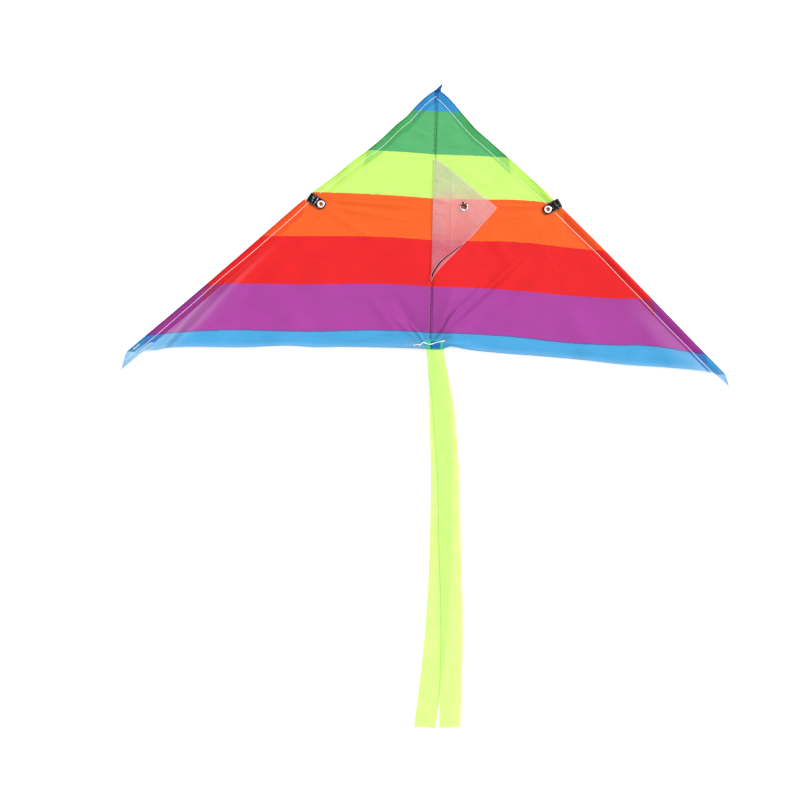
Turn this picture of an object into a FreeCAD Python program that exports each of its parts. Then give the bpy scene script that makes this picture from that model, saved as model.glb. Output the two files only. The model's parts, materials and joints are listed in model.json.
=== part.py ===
import FreeCAD, Part
import math
import os

os.makedirs("parts", exist_ok=True)

# Delta kite lying on its back: +Z is the keel side, +Y points to the nose, millimetres.
# Plan positions are given as (across, down): across from the spine, down from the nose corner.
OVERALL_LENGTH = 740.5
NOSE_POINT_UP = 6.5
NOSE_Y = OVERALL_LENGTH / 2 - NOSE_POINT_UP

CLOTH = 0.3
SAIL_Z = 6.45
SAIL_TOP = SAIL_Z + CLOTH / 2
SAIL_BOTTOM = SAIL_Z - CLOTH / 2

SHOULDER = (141.2, 125.0)
TIP = (344.4, 314.6)
HEM_WIDTH = 12.5
EAR_TIP = (350.0, 332.6)
EAR_INNER = (323.0, 311.7)
TRAILING_EDGE = [(253.0, 306.6), (190.0, 303.0), (120.0, 299.8)]
CENTRE_TRAILING = 298.0

STRIP_HALF = 9.5
FOLD_GAP = 0.3
WING_START = STRIP_HALF + FOLD_GAP
HEM_START = 11.5

ROD_R = 1.5
SPINE_TOP = 5.5
SPINE_BOTTOM = 277.0
SPINE_SLEEVE_R = 2.0
SPINE_SLEEVE_BORE = 1.7
SPINE_SLEEVE_TOP = 5.0
SPINE_SLEEVE_BOTTOM = 270.0

SLEEVE_R = 2.2
SLEEVE_BORE = 1.85
SLEEVE_POINT = 6.6
SLEEVE_BORE_POINT = 5.0
SPAR_INSET = SLEEVE_R
SPAR_ABOVE_STRAP = 21.0
SPAR_TIP_GAP = 9.0
SLEEVE_TIP_GAP = 5.0
SLEEVE_ABOVE_STRAP = 26.0
NOTCH_HALF = 6.9
NOTCH_DEPTH = 5.8

STRAP_EYELET = (130.3, 134.7)
STRAP_ANGLE = 31.4
STRAP_WIDTH = 11.0
STRAP_PLY = 0.6
LOOP_HALF_STRAIGHT = 1.5
LOOP_BORE = 1.93
TONGUE_END_BEYOND_EYELET = 0.4

EYELET_BORE_R = 2.55
EYELET_BARREL_R = 2.95
EYELET_FLANGE_R = 4.75
EYELET_CLINCH_R = 4.2
EYELET_FLANGE = 0.4

KEEL_SEAM_X = -1.75
KEEL_TOP = 79.5
KEEL_BOTTOM = 219.8
KEEL_VERTEX = (72.3, 134.1)
KEEL_EYELET = (33.9, 133.9)
KEEL_LIFT = 0.75
KEEL_PLY_GAP = 0.3

SPREADER_LENGTH = 268.0
SPREADER_X = 6.2
SPREADER_Z = SAIL_BOTTOM - 3.15
SPREADER_START = 10.0
CAP_R = 2.4
CAP_LENGTH = 14.0
CAP_CLOSED_END = 2.0
LOOP_R_IN = 2.8
LOOP_R_OUT = 3.15
LOOP_WIDTH = 8.0
LOOPS_DOWN = (62.0, 232.0)

TAIL_TOP = 287.0
TAIL_FLAT_TO = 300.0
TAIL_ON_FLOOR = 345.0
TAIL_GAP = 0.9
TUCKED_TO = 8.0
THREAD_R = 0.22


def row(across, down, z=0.0):
    return FreeCAD.Vector(across, NOSE_Y - down, z)


def plate(points, z_low, thickness):
    corners = [row(p[0], p[1], z_low) for p in points]
    face = Part.Face(Part.makePolygon(corners + [corners[0]]))
    return face.extrude(FreeCAD.Vector(0, 0, thickness))


def tube(radius, bore, start, end, height, across=0.0):
    foot = row(across, end, height)
    along = FreeCAD.Vector(0, 1, 0)
    shape = Part.makeCylinder(radius, end - start, foot, along)
    if bore > 0:
        shape = shape.cut(Part.makeCylinder(bore, end - start, foot, along))
    return shape


def eyelet(centre, low, high):
    # A rolled flange on top, a barrel, and a clinched flange underneath, turned in one go.
    profile = [
        (EYELET_BORE_R, low + 0.15),
        (EYELET_BORE_R + 0.35, low),
        (EYELET_CLINCH_R - 0.25, low),
        (EYELET_CLINCH_R, low + 0.18),
        (EYELET_CLINCH_R, low + EYELET_FLANGE),
        (EYELET_BARREL_R, low + EYELET_FLANGE),
        (EYELET_BARREL_R, high - EYELET_FLANGE),
        (EYELET_FLANGE_R, high - EYELET_FLANGE),
        (EYELET_FLANGE_R, high - 0.22),
        (EYELET_FLANGE_R - 0.35, high),
        (EYELET_BORE_R + 0.45, high),
        (EYELET_BORE_R, high - 0.3),
    ]
    here = row(centre[0], centre[1])
    points = [FreeCAD.Vector(here.x + r, here.y, z) for r, z in profile]
    face = Part.Face(Part.makePolygon(points + [points[0]]))
    return face.revolve(here, FreeCAD.Vector(0, 0, 1), 360)


def unit(a, b):
    length = math.hypot(b[0] - a[0], b[1] - a[1])
    return ((b[0] - a[0]) / length, (b[1] - a[1]) / length)


def inward(direction):
    return (-direction[1], direction[0])


def shifted(point, direction, distance):
    return (point[0] + direction[0] * distance, point[1] + direction[1] * distance)


def mirrored(shape):
    return shape.mirror(FreeCAD.Vector(0, 0, 0), FreeCAD.Vector(1, 0, 0))


def save(shape, node):
    solid = shape.removeSplitter()
    if len(solid.Solids) == 1:
        solid = solid.Solids[0]
    solid.exportStep("parts/" + node + ".step")


def save_pair(shape, node):
    save(shape, node + "_right")
    save(mirrored(shape), node + "_left")


# Leading edge directions on the right wing.
spar_dir = unit(SHOULDER, TIP)
spar_in = inward(spar_dir)
nose_dir = unit((0.0, 0.0), SHOULDER)
nose_in = inward(nose_dir)
spar_zero = shifted(SHOULDER, spar_in, SPAR_INSET)

# The strap's middle line crosses the spar at strap_cross.
strap_in = (-math.cos(math.radians(STRAP_ANGLE)), math.sin(math.radians(STRAP_ANGLE)))
gap_vec = (STRAP_EYELET[0] - spar_zero[0], STRAP_EYELET[1] - spar_zero[1])
gap_in = gap_vec[0] * spar_in[0] + gap_vec[1] * spar_in[1]
strap_share = strap_in[0] * spar_in[0] + strap_in[1] * spar_in[1]
eyelet_reach = gap_in / strap_share
strap_cross = shifted(STRAP_EYELET, strap_in, -eyelet_reach)
spar_length_from_cross = math.hypot(TIP[0] - SHOULDER[0], TIP[1] - SHOULDER[1])
cross_along = (strap_cross[0] - spar_zero[0]) * spar_dir[0]
cross_along = cross_along + (strap_cross[1] - spar_zero[1]) * spar_dir[1]
tip_along = spar_length_from_cross - cross_along


def on_spar(along, across_in=0.0):
    base = shifted(strap_cross, spar_dir, along)
    return shifted(base, spar_in, across_in)


def along_spar(shape_radius, start, end):
    foot = row(on_spar(start)[0], on_spar(start)[1], SAIL_Z)
    way = FreeCAD.Vector(spar_dir[0], -spar_dir[1], 0)
    return Part.makeCylinder(shape_radius, end - start, foot, way)


def teardrop(radius, point, start, end):
    # A round sleeve drawn out to a point where the hem is stitched, along the spar.
    angle = math.acos(radius / point)
    base = on_spar(start)
    centre = row(base[0], base[1], SAIL_Z)
    side = FreeCAD.Vector(spar_in[0], -spar_in[1], 0)
    up = FreeCAD.Vector(0, 0, 1)
    touch_up = centre + side * (radius * math.cos(angle)) + up * (radius * math.sin(angle))
    touch_down = centre + side * (radius * math.cos(angle)) - up * (radius * math.sin(angle))
    far = centre - side * radius
    nose = centre + side * point
    arc = Part.Arc(touch_up, far, touch_down).toShape()
    lower = Part.makeLine(touch_down, nose)
    upper = Part.makeLine(nose, touch_up)
    face = Part.Face(Part.Wire([arc, lower, upper]))
    way = FreeCAD.Vector(spar_dir[0], -spar_dir[1], 0)
    return face.extrude(way * (end - start))


# Sail wing: one cloth half with its hem folded under and its spar sleeve.
wing_edge_top = (WING_START, WING_START * SHOULDER[1] / SHOULDER[0])
wing_outline = [wing_edge_top, SHOULDER, TIP, EAR_INNER] + TRAILING_EDGE
wing_outline = wing_outline + [(WING_START, CENTRE_TRAILING)]
wing = plate(wing_outline, SAIL_BOTTOM, CLOTH)
hem_top = shifted((0.0, 0.0), nose_dir, HEM_START / nose_dir[0])
hem_nose_inner = shifted(hem_top, (0.0, 1.0), HEM_WIDTH / nose_dir[0])
hem_shoulder_inner = shifted(shifted(SHOULDER, nose_in, HEM_WIDTH / 2), spar_in, HEM_WIDTH / 2)
hem_outline = [hem_top, SHOULDER, TIP, EAR_TIP, EAR_INNER, hem_shoulder_inner, hem_nose_inner]
hem = plate(hem_outline, SAIL_BOTTOM - CLOTH, CLOTH)
sleeve_start = -SLEEVE_ABOVE_STRAP
sleeve_end = tip_along - SLEEVE_TIP_GAP
wing = wing.fuse(hem)
wing = wing.fuse(teardrop(SLEEVE_R, SLEEVE_POINT, sleeve_start, sleeve_end))
wing = wing.cut(teardrop(SLEEVE_BORE, SLEEVE_BORE_POINT, sleeve_start - 0.5, sleeve_end + 0.5))
notch = [
    on_spar(-NOTCH_HALF, -10.0),
    on_spar(NOTCH_HALF, -10.0),
    on_spar(NOTCH_HALF, NOTCH_DEPTH),
    on_spar(-NOTCH_HALF, NOTCH_DEPTH),
]
wing = wing.cut(plate(notch, SAIL_Z - 10.0, 20.0))
save_pair(wing, "sail")

# Leading edge spar: a plain rod from just above the strap to near the wing tip.
spar = along_spar(ROD_R, -SPAR_ABOVE_STRAP, tip_along - SPAR_TIP_GAP)
save_pair(spar, "leading_edge_spar")

# Strap: a doubled vinyl strip that loops loosely round the bare spar.
origin = row(strap_cross[0], strap_cross[1], SAIL_Z)
u_dir = FreeCAD.Vector(strap_in[0], -strap_in[1], 0)
v_dir = FreeCAD.Vector(0, 0, 1).cross(u_dir)
w_dir = FreeCAD.Vector(0, 0, 1)


def strap_point(u, v, w):
    return origin + u_dir * u + v_dir * v + w_dir * w


def stadium(radius):
    edge_v = -STRAP_WIDTH / 2
    half = LOOP_HALF_STRAIGHT
    top_left = strap_point(-half, edge_v, radius)
    top_right = strap_point(half, edge_v, radius)
    low_left = strap_point(-half, edge_v, -radius)
    low_right = strap_point(half, edge_v, -radius)
    end_left = strap_point(-half - radius, edge_v, 0)
    end_right = strap_point(half + radius, edge_v, 0)
    top = Part.makeLine(top_left, top_right)
    right = Part.Arc(top_right, end_right, low_right).toShape()
    low = Part.makeLine(low_right, low_left)
    left = Part.Arc(low_left, end_left, top_left).toShape()
    face = Part.Face(Part.Wire([top, right, low, left]))
    return face.extrude(v_dir * STRAP_WIDTH)


loop_outer = LOOP_BORE + STRAP_PLY
tongue_low = loop_outer - 2 * STRAP_PLY
end_centre = eyelet_reach + TONGUE_END_BEYOND_EYELET
tongue_corners = [
    strap_point(LOOP_HALF_STRAIGHT, -STRAP_WIDTH / 2, tongue_low),
    strap_point(end_centre, -STRAP_WIDTH / 2, tongue_low),
    strap_point(end_centre, STRAP_WIDTH / 2, tongue_low),
    strap_point(LOOP_HALF_STRAIGHT, STRAP_WIDTH / 2, tongue_low),
]
tongue_arc = Part.Arc(
    tongue_corners[1],
    strap_point(end_centre + STRAP_WIDTH / 2, 0, tongue_low),
    tongue_corners[2],
).toShape()
tongue_wire = Part.Wire([
    Part.makeLine(tongue_corners[0], tongue_corners[1]),
    tongue_arc,
    Part.makeLine(tongue_corners[2], tongue_corners[3]),
    Part.makeLine(tongue_corners[3], tongue_corners[0]),
])
tongue = Part.Face(tongue_wire).extrude(w_dir * (2 * STRAP_PLY))
strap = stadium(loop_outer).fuse(tongue)
strap = strap.cut(stadium(LOOP_BORE))
eyelet_foot = row(STRAP_EYELET[0], STRAP_EYELET[1], SAIL_Z)
strap = strap.cut(Part.makeCylinder(EYELET_BARREL_R, 10.0, eyelet_foot, w_dir))
save_pair(strap, "strap")

strap_low = SAIL_Z + tongue_low - EYELET_FLANGE
strap_high = SAIL_Z + loop_outer + EYELET_FLANGE
save_pair(eyelet(STRAP_EYELET, strap_low, strap_high), "strap_eyelet")

# Centre strip: the cloth along the seam, with the spine's sleeve sewn under it.
strip_edge = STRIP_HALF * SHOULDER[1] / SHOULDER[0]
strip_outline = [
    (0.0, 0.0),
    (STRIP_HALF, strip_edge),
    (STRIP_HALF, CENTRE_TRAILING),
    (-STRIP_HALF, CENTRE_TRAILING),
    (-STRIP_HALF, strip_edge),
]
spine_z = SAIL_Z - SPINE_SLEEVE_R
strip = plate(strip_outline, SAIL_BOTTOM, CLOTH)
strip = strip.fuse(tube(SPINE_SLEEVE_R, 0.0, SPINE_SLEEVE_TOP, SPINE_SLEEVE_BOTTOM, spine_z))
strip = strip.cut(tube(SPINE_SLEEVE_BORE, 0.0, 0.0, SPINE_SLEEVE_BOTTOM + 1.0, spine_z))
save(strip, "sail_centre_strip")

# Spine rod in its sleeve.
save(tube(ROD_R, 0.0, SPINE_TOP, SPINE_BOTTOM, spine_z), "spine_rod")

# Nose pocket: a folded cloth point over the nose, with a closed cup round the sleeve's top.
nose_cloth = plate([
    (-5.6, 8.0),
    (-3.2, 1.2),
    (1.5, -3.6),
    (5.7, -NOSE_POINT_UP),
    (6.4, -3.0),
    (5.8, 3.4),
    (7.8, 9.5),
    (1.0, 12.0),
], SAIL_TOP, CLOTH)
nose_cup = tube(SPINE_SLEEVE_R + 0.35, 0.0, -1.2, 16.0, spine_z)
nose_cup = nose_cup.cut(tube(SPINE_SLEEVE_R, 0.0, -0.3, 17.0, spine_z))
nose_pocket = nose_cloth.fuse(nose_cup)
nose_pocket = nose_pocket.cut(plate(strip_outline, SAIL_BOTTOM, CLOTH))
nose_pocket = nose_pocket.cut(plate([(-9, 0.0), (9, 0.0), (9, 17), (-9, 17)], SAIL_Z - 1.0, 1.0))
save(nose_pocket, "nose_pocket")

# Spine end pocket: a closed cloth cup that holds the rod's lower end under the strip.
end_cup = tube(SPINE_SLEEVE_R, 0.0, SPINE_SLEEVE_BOTTOM, 281.0, spine_z)
end_cup = end_cup.cut(tube(SPINE_SLEEVE_BORE, 0.0, SPINE_SLEEVE_BOTTOM - 1.0, 279.0, spine_z))
end_cup = end_cup.cut(plate([(-9, 260), (9, 260), (9, 290), (-9, 290)], SAIL_BOTTOM, 3.0))
save(end_cup, "spine_end_pocket")

# Two cloth loops beside the spine that hold the spreader while it is packed.
for name, down in zip(("upper", "lower"), LOOPS_DOWN):
    ring = tube(LOOP_R_OUT, LOOP_R_IN, down, down + LOOP_WIDTH, SPREADER_Z, SPREADER_X)
    tab = plate([
        (SPREADER_X - 1.6, down),
        (SPREADER_X + 1.6, down),
        (SPREADER_X + 1.6, down + LOOP_WIDTH),
        (SPREADER_X - 1.6, down + LOOP_WIDTH),
    ], SAIL_BOTTOM - 0.35, 0.35)
    save(ring.fuse(tab).cut(tube(LOOP_R_IN, 0.0, down, down + LOOP_WIDTH, SPREADER_Z, SPREADER_X)),
         "spreader_loop_" + name)

# Spreader: a rod with a soft cap on each end, packed beside the spine.
rod_start = SPREADER_START + CAP_CLOSED_END
rod_end = SPREADER_START + SPREADER_LENGTH - CAP_CLOSED_END
save(tube(ROD_R, 0.0, rod_start, rod_end, SPREADER_Z, SPREADER_X), "spreader_rod")
for name, outer_end, step in (
    ("upper", SPREADER_START, 1),
    ("lower", SPREADER_START + SPREADER_LENGTH, -1),
):
    ends = sorted((outer_end, outer_end + step * CAP_LENGTH))
    cap = tube(CAP_R, 0.0, ends[0], ends[1], SPREADER_Z, SPREADER_X)
    cap = cap.cut(tube(ROD_R, 0.0, rod_start, rod_end, SPREADER_Z, SPREADER_X))
    save(cap, "spreader_cap_" + name)

# Keel: two cloth plies and an eyelet, folded flat to the right.
keel_low = SAIL_TOP + KEEL_LIFT
keel_high = keel_low + CLOTH + KEEL_PLY_GAP
upper_outline = [
    (KEEL_SEAM_X, KEEL_TOP),
    (19.5, 92.1),
    KEEL_VERTEX,
    (38.9, 171.9),
    (25.7, 181.4),
    (11.6, 193.0),
    (3.6, 202.4),
    (-1.3, 211.7),
    (KEEL_SEAM_X, KEEL_BOTTOM),
]
lower_outline = [
    (KEEL_SEAM_X, KEEL_TOP),
    (19.5, 92.1),
    KEEL_VERTEX,
    (38.9, 171.9),
    (15.9, 198.0),
    (3.8, 211.6),
    (KEEL_SEAM_X, KEEL_BOTTOM + 2.0),
]
keel_foot = row(KEEL_EYELET[0], KEEL_EYELET[1], keel_low - 5.0)
keel_hole = Part.makeCylinder(EYELET_BARREL_R, 20.0, keel_foot, w_dir)
save(plate(upper_outline, keel_high, CLOTH).cut(keel_hole), "keel_upper_ply")
save(plate(lower_outline, keel_low, CLOTH).cut(keel_hole), "keel_lower_ply")
keel_eyelet_low = keel_low - EYELET_FLANGE
keel_eyelet_high = keel_high + CLOTH + EYELET_FLANGE
save(eyelet(KEEL_EYELET, keel_eyelet_low, keel_eyelet_high), "keel_eyelet")

# Tail: two ribbons, sewn under the trailing edge, that come down to the floor and drift apart.
left_edge = [(-6.2, 287.0), (-4.8, 298.0), (-0.1, 375.0), (2.4, 420.0), (3.8, 508.0)]
left_edge = left_edge + [(3.3, 558.0), (0.0, 634.0), (-9.4, 733.6)]
right_edge = [(12.8, 287.0), (14.3, 299.0), (22.4, 334.0), (29.0, 367.0), (32.9, 405.0), (36.9, 452.0)]
right_edge = right_edge + [(39.9, 522.0), (43.1, 581.0), (44.6, 634.0), (44.3, 732.4)]
RIBBON_TOP_WIDTH = 19.0
RIBBON_WIDTH = 25.0
RIBBON_FULL_AT = 375.0


def ribbon_width(down):
    share = min(1.0, (down - TAIL_TOP) / (RIBBON_FULL_AT - TAIL_TOP))
    return RIBBON_TOP_WIDTH + (RIBBON_WIDTH - RIBBON_TOP_WIDTH) * share


def ribbon(edge, side, top_z, floor_z, end_down):
    other = [(x + side * ribbon_width(d), d) for x, d in edge]
    other[-1] = (other[-1][0], end_down)
    outline = plate(edge + list(reversed(other)), -5.0, 20.0)
    tucked_corner = [
        (TUCKED_TO, TAIL_TOP - 5.0),
        (60.0, TAIL_TOP - 5.0),
        (60.0, CENTRE_TRAILING + 0.8),
        (TUCKED_TO, CENTRE_TRAILING + 1.6),
    ]
    outline = outline.cut(plate(tucked_corner, -5.0, 20.0))
    profile = [
        (TAIL_TOP - 2.0, top_z),
        (TAIL_FLAT_TO, top_z),
        (TAIL_ON_FLOOR, floor_z),
        (OVERALL_LENGTH, floor_z),
    ]
    low = [row(-60.0, d, z) for d, z in profile]
    high = [row(-60.0, d, z + CLOTH) for d, z in reversed(profile)]
    band = Part.Face(Part.makePolygon(low + high + [low[0]]))
    band = band.extrude(FreeCAD.Vector(150.0, 0, 0))
    return outline.common(band)


tail_left_top = SAIL_BOTTOM - 0.65 - CLOTH - TAIL_GAP - CLOTH
tail_right_top = SAIL_BOTTOM - 0.65 - CLOTH
save(ribbon(left_edge, 1, tail_left_top, 0.0, 734.0), "tail_ribbon_left")
save(ribbon(right_edge, -1, tail_right_top, CLOTH + TAIL_GAP, 733.2), "tail_ribbon_right")

# Tack thread: the knotted stitches on the front that hold the tail, with two loose ends.
thread_path = [
    row(-20.1, 294.7, SAIL_TOP + 0.9),
    row(-18.5, 293.3, SAIL_TOP + 0.8),
    row(-11.8, 293.1, SAIL_TOP + 0.75),
    row(-9.7, 291.2, SAIL_TOP + 0.7),
    row(-8.0, 290.5, SAIL_TOP + 0.22),
    row(-1.6, 292.4, SAIL_TOP + 0.22),
    row(7.4, 289.8, SAIL_TOP + 0.22),
    row(9.4, 289.3, SAIL_TOP + 0.7),
    row(15.9, 288.3, SAIL_TOP + 0.85),
]
thread = Part.makeSphere(THREAD_R, thread_path[0])
for start, end in zip(thread_path, thread_path[1:]):
    run = end - start
    thread = thread.fuse(Part.makeCylinder(THREAD_R, run.Length, start, run))
    thread = thread.fuse(Part.makeSphere(THREAD_R, end))
save(thread, "tail_tack_thread")
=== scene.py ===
import json
import math
import bmesh
import bpy
import numpy as np
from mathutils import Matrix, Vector


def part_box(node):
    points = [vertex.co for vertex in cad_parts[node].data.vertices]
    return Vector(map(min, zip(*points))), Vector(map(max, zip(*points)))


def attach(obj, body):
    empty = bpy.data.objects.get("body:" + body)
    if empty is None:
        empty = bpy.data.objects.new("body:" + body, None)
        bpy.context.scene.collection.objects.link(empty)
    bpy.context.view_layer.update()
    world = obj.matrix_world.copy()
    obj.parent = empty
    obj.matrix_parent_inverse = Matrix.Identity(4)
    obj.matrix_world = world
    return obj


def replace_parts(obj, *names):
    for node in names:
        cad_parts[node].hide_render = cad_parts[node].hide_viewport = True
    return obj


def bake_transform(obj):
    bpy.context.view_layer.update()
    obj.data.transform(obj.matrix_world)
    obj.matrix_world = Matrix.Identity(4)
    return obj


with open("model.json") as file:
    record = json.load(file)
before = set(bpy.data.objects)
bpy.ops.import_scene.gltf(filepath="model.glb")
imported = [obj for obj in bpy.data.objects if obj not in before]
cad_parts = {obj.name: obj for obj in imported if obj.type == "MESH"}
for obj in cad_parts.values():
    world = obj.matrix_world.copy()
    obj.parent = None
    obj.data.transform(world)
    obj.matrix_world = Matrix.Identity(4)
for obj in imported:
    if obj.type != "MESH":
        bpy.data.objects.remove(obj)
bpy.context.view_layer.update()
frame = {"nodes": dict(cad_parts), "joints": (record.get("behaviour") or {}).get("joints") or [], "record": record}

MM = 0.001
NODES = frame["nodes"]
RECORD = frame["record"]
MOUNTS = {m["name"]: m["pos_m"] for m in RECORD["mounts"]}
JOINTS = {j["name"]: j for j in frame["joints"]}

# Plan positions are (across, down) in millimetres: across from the spine, down from the nose corner.
NOSE_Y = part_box("nose_pocket")[1][1] / MM - 6.5
SAIL_Z = JOINTS["wing_right_fold"]["pos_m"][2] / MM
LEVEL = SAIL_Z + 0.18


def place(across, down, z):
    return np.stack([across * MM, (NOSE_Y - down) * MM, z * MM], axis=-1)


def linear(r, g, b, gain=1.0):
    out = []
    for c in (r, g, b):
        c = c / 255.0
        c = c / 12.92 if c <= 0.04045 else ((c + 0.055) / 1.055) ** 2.4
        out.append(min(1.0, c * gain))
    return (out[0], out[1], out[2], 1.0)


def smooth(points, x):
    """A smooth line through a few given points, as a function of the first value."""
    p = np.array(points, float)
    h = np.diff(p[:, 0])
    slope = np.diff(p[:, 1]) / h
    m = np.empty(len(p))
    m[1:-1] = (slope[:-1] * h[1:] + slope[1:] * h[:-1]) / (h[:-1] + h[1:])
    m[0], m[-1] = slope[0], slope[-1]
    x = np.clip(x, p[0, 0], p[-1, 0])
    i = np.clip(np.searchsorted(p[:, 0], x, side="right") - 1, 0, len(h) - 1)
    t = (x - p[i, 0]) / h[i]
    a, b = p[i, 1], p[i + 1, 1]
    return ((1 + 2 * t) * (1 - t) ** 2 * a + t * (1 - t) ** 2 * h[i] * m[i]
            + t * t * (3 - 2 * t) * b + t * t * (t - 1) * h[i] * m[i + 1])


def step(a, b, x):
    t = np.clip((x - a) / (b - a), 0.0, 1.0)
    return t * t * (3 - 2 * t)


def segment(x, y, a, b):
    """Distance from the line a-b, and the share of the way along it."""
    ax, ay = a
    dx, dy = b[0] - a[0], b[1] - a[1]
    length = math.hypot(dx, dy)
    t = ((x - ax) * dx + (y - ay) * dy) / length ** 2
    off = ((x - ax) * dy - (y - ay) * dx) / length
    return off, t


def ridge(x, y, a, b, width, height, sharp=0.0):
    """A wrinkle along a-b that fades at both ends. A sharp one has a creased top."""
    off, t = segment(x, y, a, b)
    round_top = np.exp(-(off / width) ** 2)
    crease = np.exp(-np.abs(off) / (0.7 * width))
    fade = step(-0.12, 0.18, t) * (1 - step(0.72, 1.12, t))
    return height * fade * ((1 - sharp) * round_top + sharp * crease)


def ripple(x, y, seed, scale):
    """Broad soft unevenness, the same on every run."""
    r = np.random.RandomState(seed)
    out = np.zeros_like(x)
    for _ in range(9):
        ang, k = r.uniform(0, math.pi), r.uniform(0.5, 1.6) / scale
        out += r.uniform(0.4, 1.0) * np.sin(2 * math.pi * k * (x * math.cos(ang) + y * math.sin(ang))
            + r.uniform(0, 6.28))
    return out / 4.5


# ---------------------------------------------------------------- outlines
# Kite millimetres: across from the middle, down from the nose.
# LEAD was traced from the photograph by a script.
LEAD = {
    -1: [(0, -1.0), (5.7, 3.0), (17, 12.4), (25.9, 21.9), (33.8, 31.3), (45.1, 40.7), (64.2, 59.6),
    (93.5, 83.3),
         (121.8, 106.9), (139, 120.0), (151.1, 130.6), (215.3, 189.2), (280.7, 248.5), (349.6, 309.2)],
    1: [(0, -1.0), (5.8, 2.7), (16.4, 11.7), (24.6, 20.7), (36.5, 34.2), (44.7, 43.2), (61.1, 56.9),
    (87, 79.1),
        (112.8, 101.3), (136.3, 122.5), (161, 145.9), (197.4, 180.3), (231.6, 213.8), (265.7, 247.5),
        (299.9, 281.2),
        (339.1, 319.5)],
}
TRAIL = {
    -1: [(0, 298.2), (14, 297.8), (60, 297.5), (104.7, 297.9), (135, 299.0), (155.6, 298.0), (218, 301.1),
    (292, 302.7),
         (303.5, 303.7), (316.4, 306.8), (326.4, 306.9), (349.6, 309.2)],
    1: [(0, 298.2), (13.8, 297.6), (21.9, 294.6), (30, 295.4), (39.1, 297.0), (79.4, 300.7), (131.3, 303.5),
        (175.1, 306.5), (223.5, 310.8), (271.4, 312.9), (309.8, 315.8), (339.1, 319.5)],
}
TIP = {-1: 349.6, 1: 339.1}
EAR = {-1: (355.8, 330.5), 1: (344.4, 334.7)}
STITCH = {-1: 6.6, 1: 9.3}
HEM = 12.5
STRAP = {-1: MOUNTS["strap_eyelet_left"], 1: MOUNTS["strap_eyelet_right"]}
# How far down each stripe ends, in mm, and the length that the colour ramps span, in metres.
STRIPES = [24, 74, 124, 172.6, 226.4, 279]
PRINT_LENGTH = 0.36


def drift(side, across, down):
    """How far the print has sunk at this place: the cloth is pulled a little out of square."""
    x = np.abs(across)
    if side > 0:
        far = np.interp(down, [124, 226, 279], [0, 2.0, 3.6]) * np.exp(-((x - 160) / 55) ** 2)
        near = np.interp(down, [60, 90, 124, 173, 226],
            [0.8, 0, -2.3, -2.0, 0]) * np.exp(-((x - 100) / 42) ** 2)
        tip = np.interp(down, [173, 226], [0, -2.0]) * step(215, 245, x) * (1 - step(255, 300, x))
        return 1.72e-4 * x ** 2 + far + near + tip
    sag = np.interp(down, [74, 124, 173, 226, 279], [0, -0.9, 1.9, 3.7, 5.0]) * np.exp(-((x - 145) / 72) ** 2)
    return 2.97e-4 * x ** 2 - 0.0649 * x + sag


def lead_dir(side, x):
    a, b = np.maximum(x - 1.5, 0.0), np.minimum(x + 1.5, TIP[side])
    dy = (smooth(LEAD[side], b) - smooth(LEAD[side], a)) / (b - a)
    n = np.sqrt(1 + dy ** 2)
    return 1 / n, dy / n


ROD_RISE = 1.50


ROD_LINE = {-1: ((141.2, 128.0), (341.7, 306.0), 20.0), 1: ((140.0, 128.8), (331.4, 315.9), 18.0)}


def rod_rise(side, x, y):
    """How much of the rod's height the cloth has here: 1 over the rod, 0 away from it."""
    (sx, sy), (ex, ey), above = ROD_LINE[side]
    length = math.hypot(ex - sx, ey - sy)
    ax, ay = (ex - sx) / length, (ey - sy) / length
    u = (x - sx) * ay - (y - sy) * ax
    t = (x - sx) * ax + (y - sy) * ay
    over = np.cos(0.5 * math.pi * np.clip(np.abs(u) / 6.4, 0, 1)) ** 2
    return over * step(-above - 12, -above + 3, t) * (1 - step(length - 2, length + 5, t))


def sail_height(side, x, y, d):
    """Height of the cloth's face over the plan, x across (positive), y down, d from the folded edge."""
    z = np.full_like(x, LEVEL)
    sx = side * x
    belly = step(20, 120, x) * (1 - step(0.55, 1.0, x / TIP[side])) * step(150, 285, y)
    inner = step(7, 40, d)
    z -= 2.6 * belly * inner
    z -= 1.3 * step(12, 60, x) * (1 - step(60, 130, x)) * step(150, 210, y) * inner
    z += (0.45 * ripple(sx, y, 5 + side, 120) + 0.16 * ripple(sx, y, 11 + side, 40)) * (0.25 + 0.75 * inner)
    # The cloth is lifted over the rod in its sleeve.
    s = STITCH[side]
    z += ROD_RISE * rod_rise(side, x, y)
    # Puckers in the edge that has no rod.
    loose = (1 - step(112, 138, x)) * step(2, 12, x)
    phase = x * (0.205 if side < 0 else 0.165)
    z += loose * 1.0 * np.sin(phase) * np.exp(-d / 9.0)
    # A shallow dip along the stitches.
    z -= 0.35 * np.exp(-((d - s) / 1.1) ** 2)
    wrinkles = WRINKLES[side]
    for a, b, width, height, sharp in wrinkles:
        z += ridge(sx, y, a, b, width, height, sharp) * (0.2 + 0.8 * inner)
    # The seam is drawn in between the two halves.
    z -= 0.32 * np.exp(-(x / 1.3) ** 2)
    return z


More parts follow.
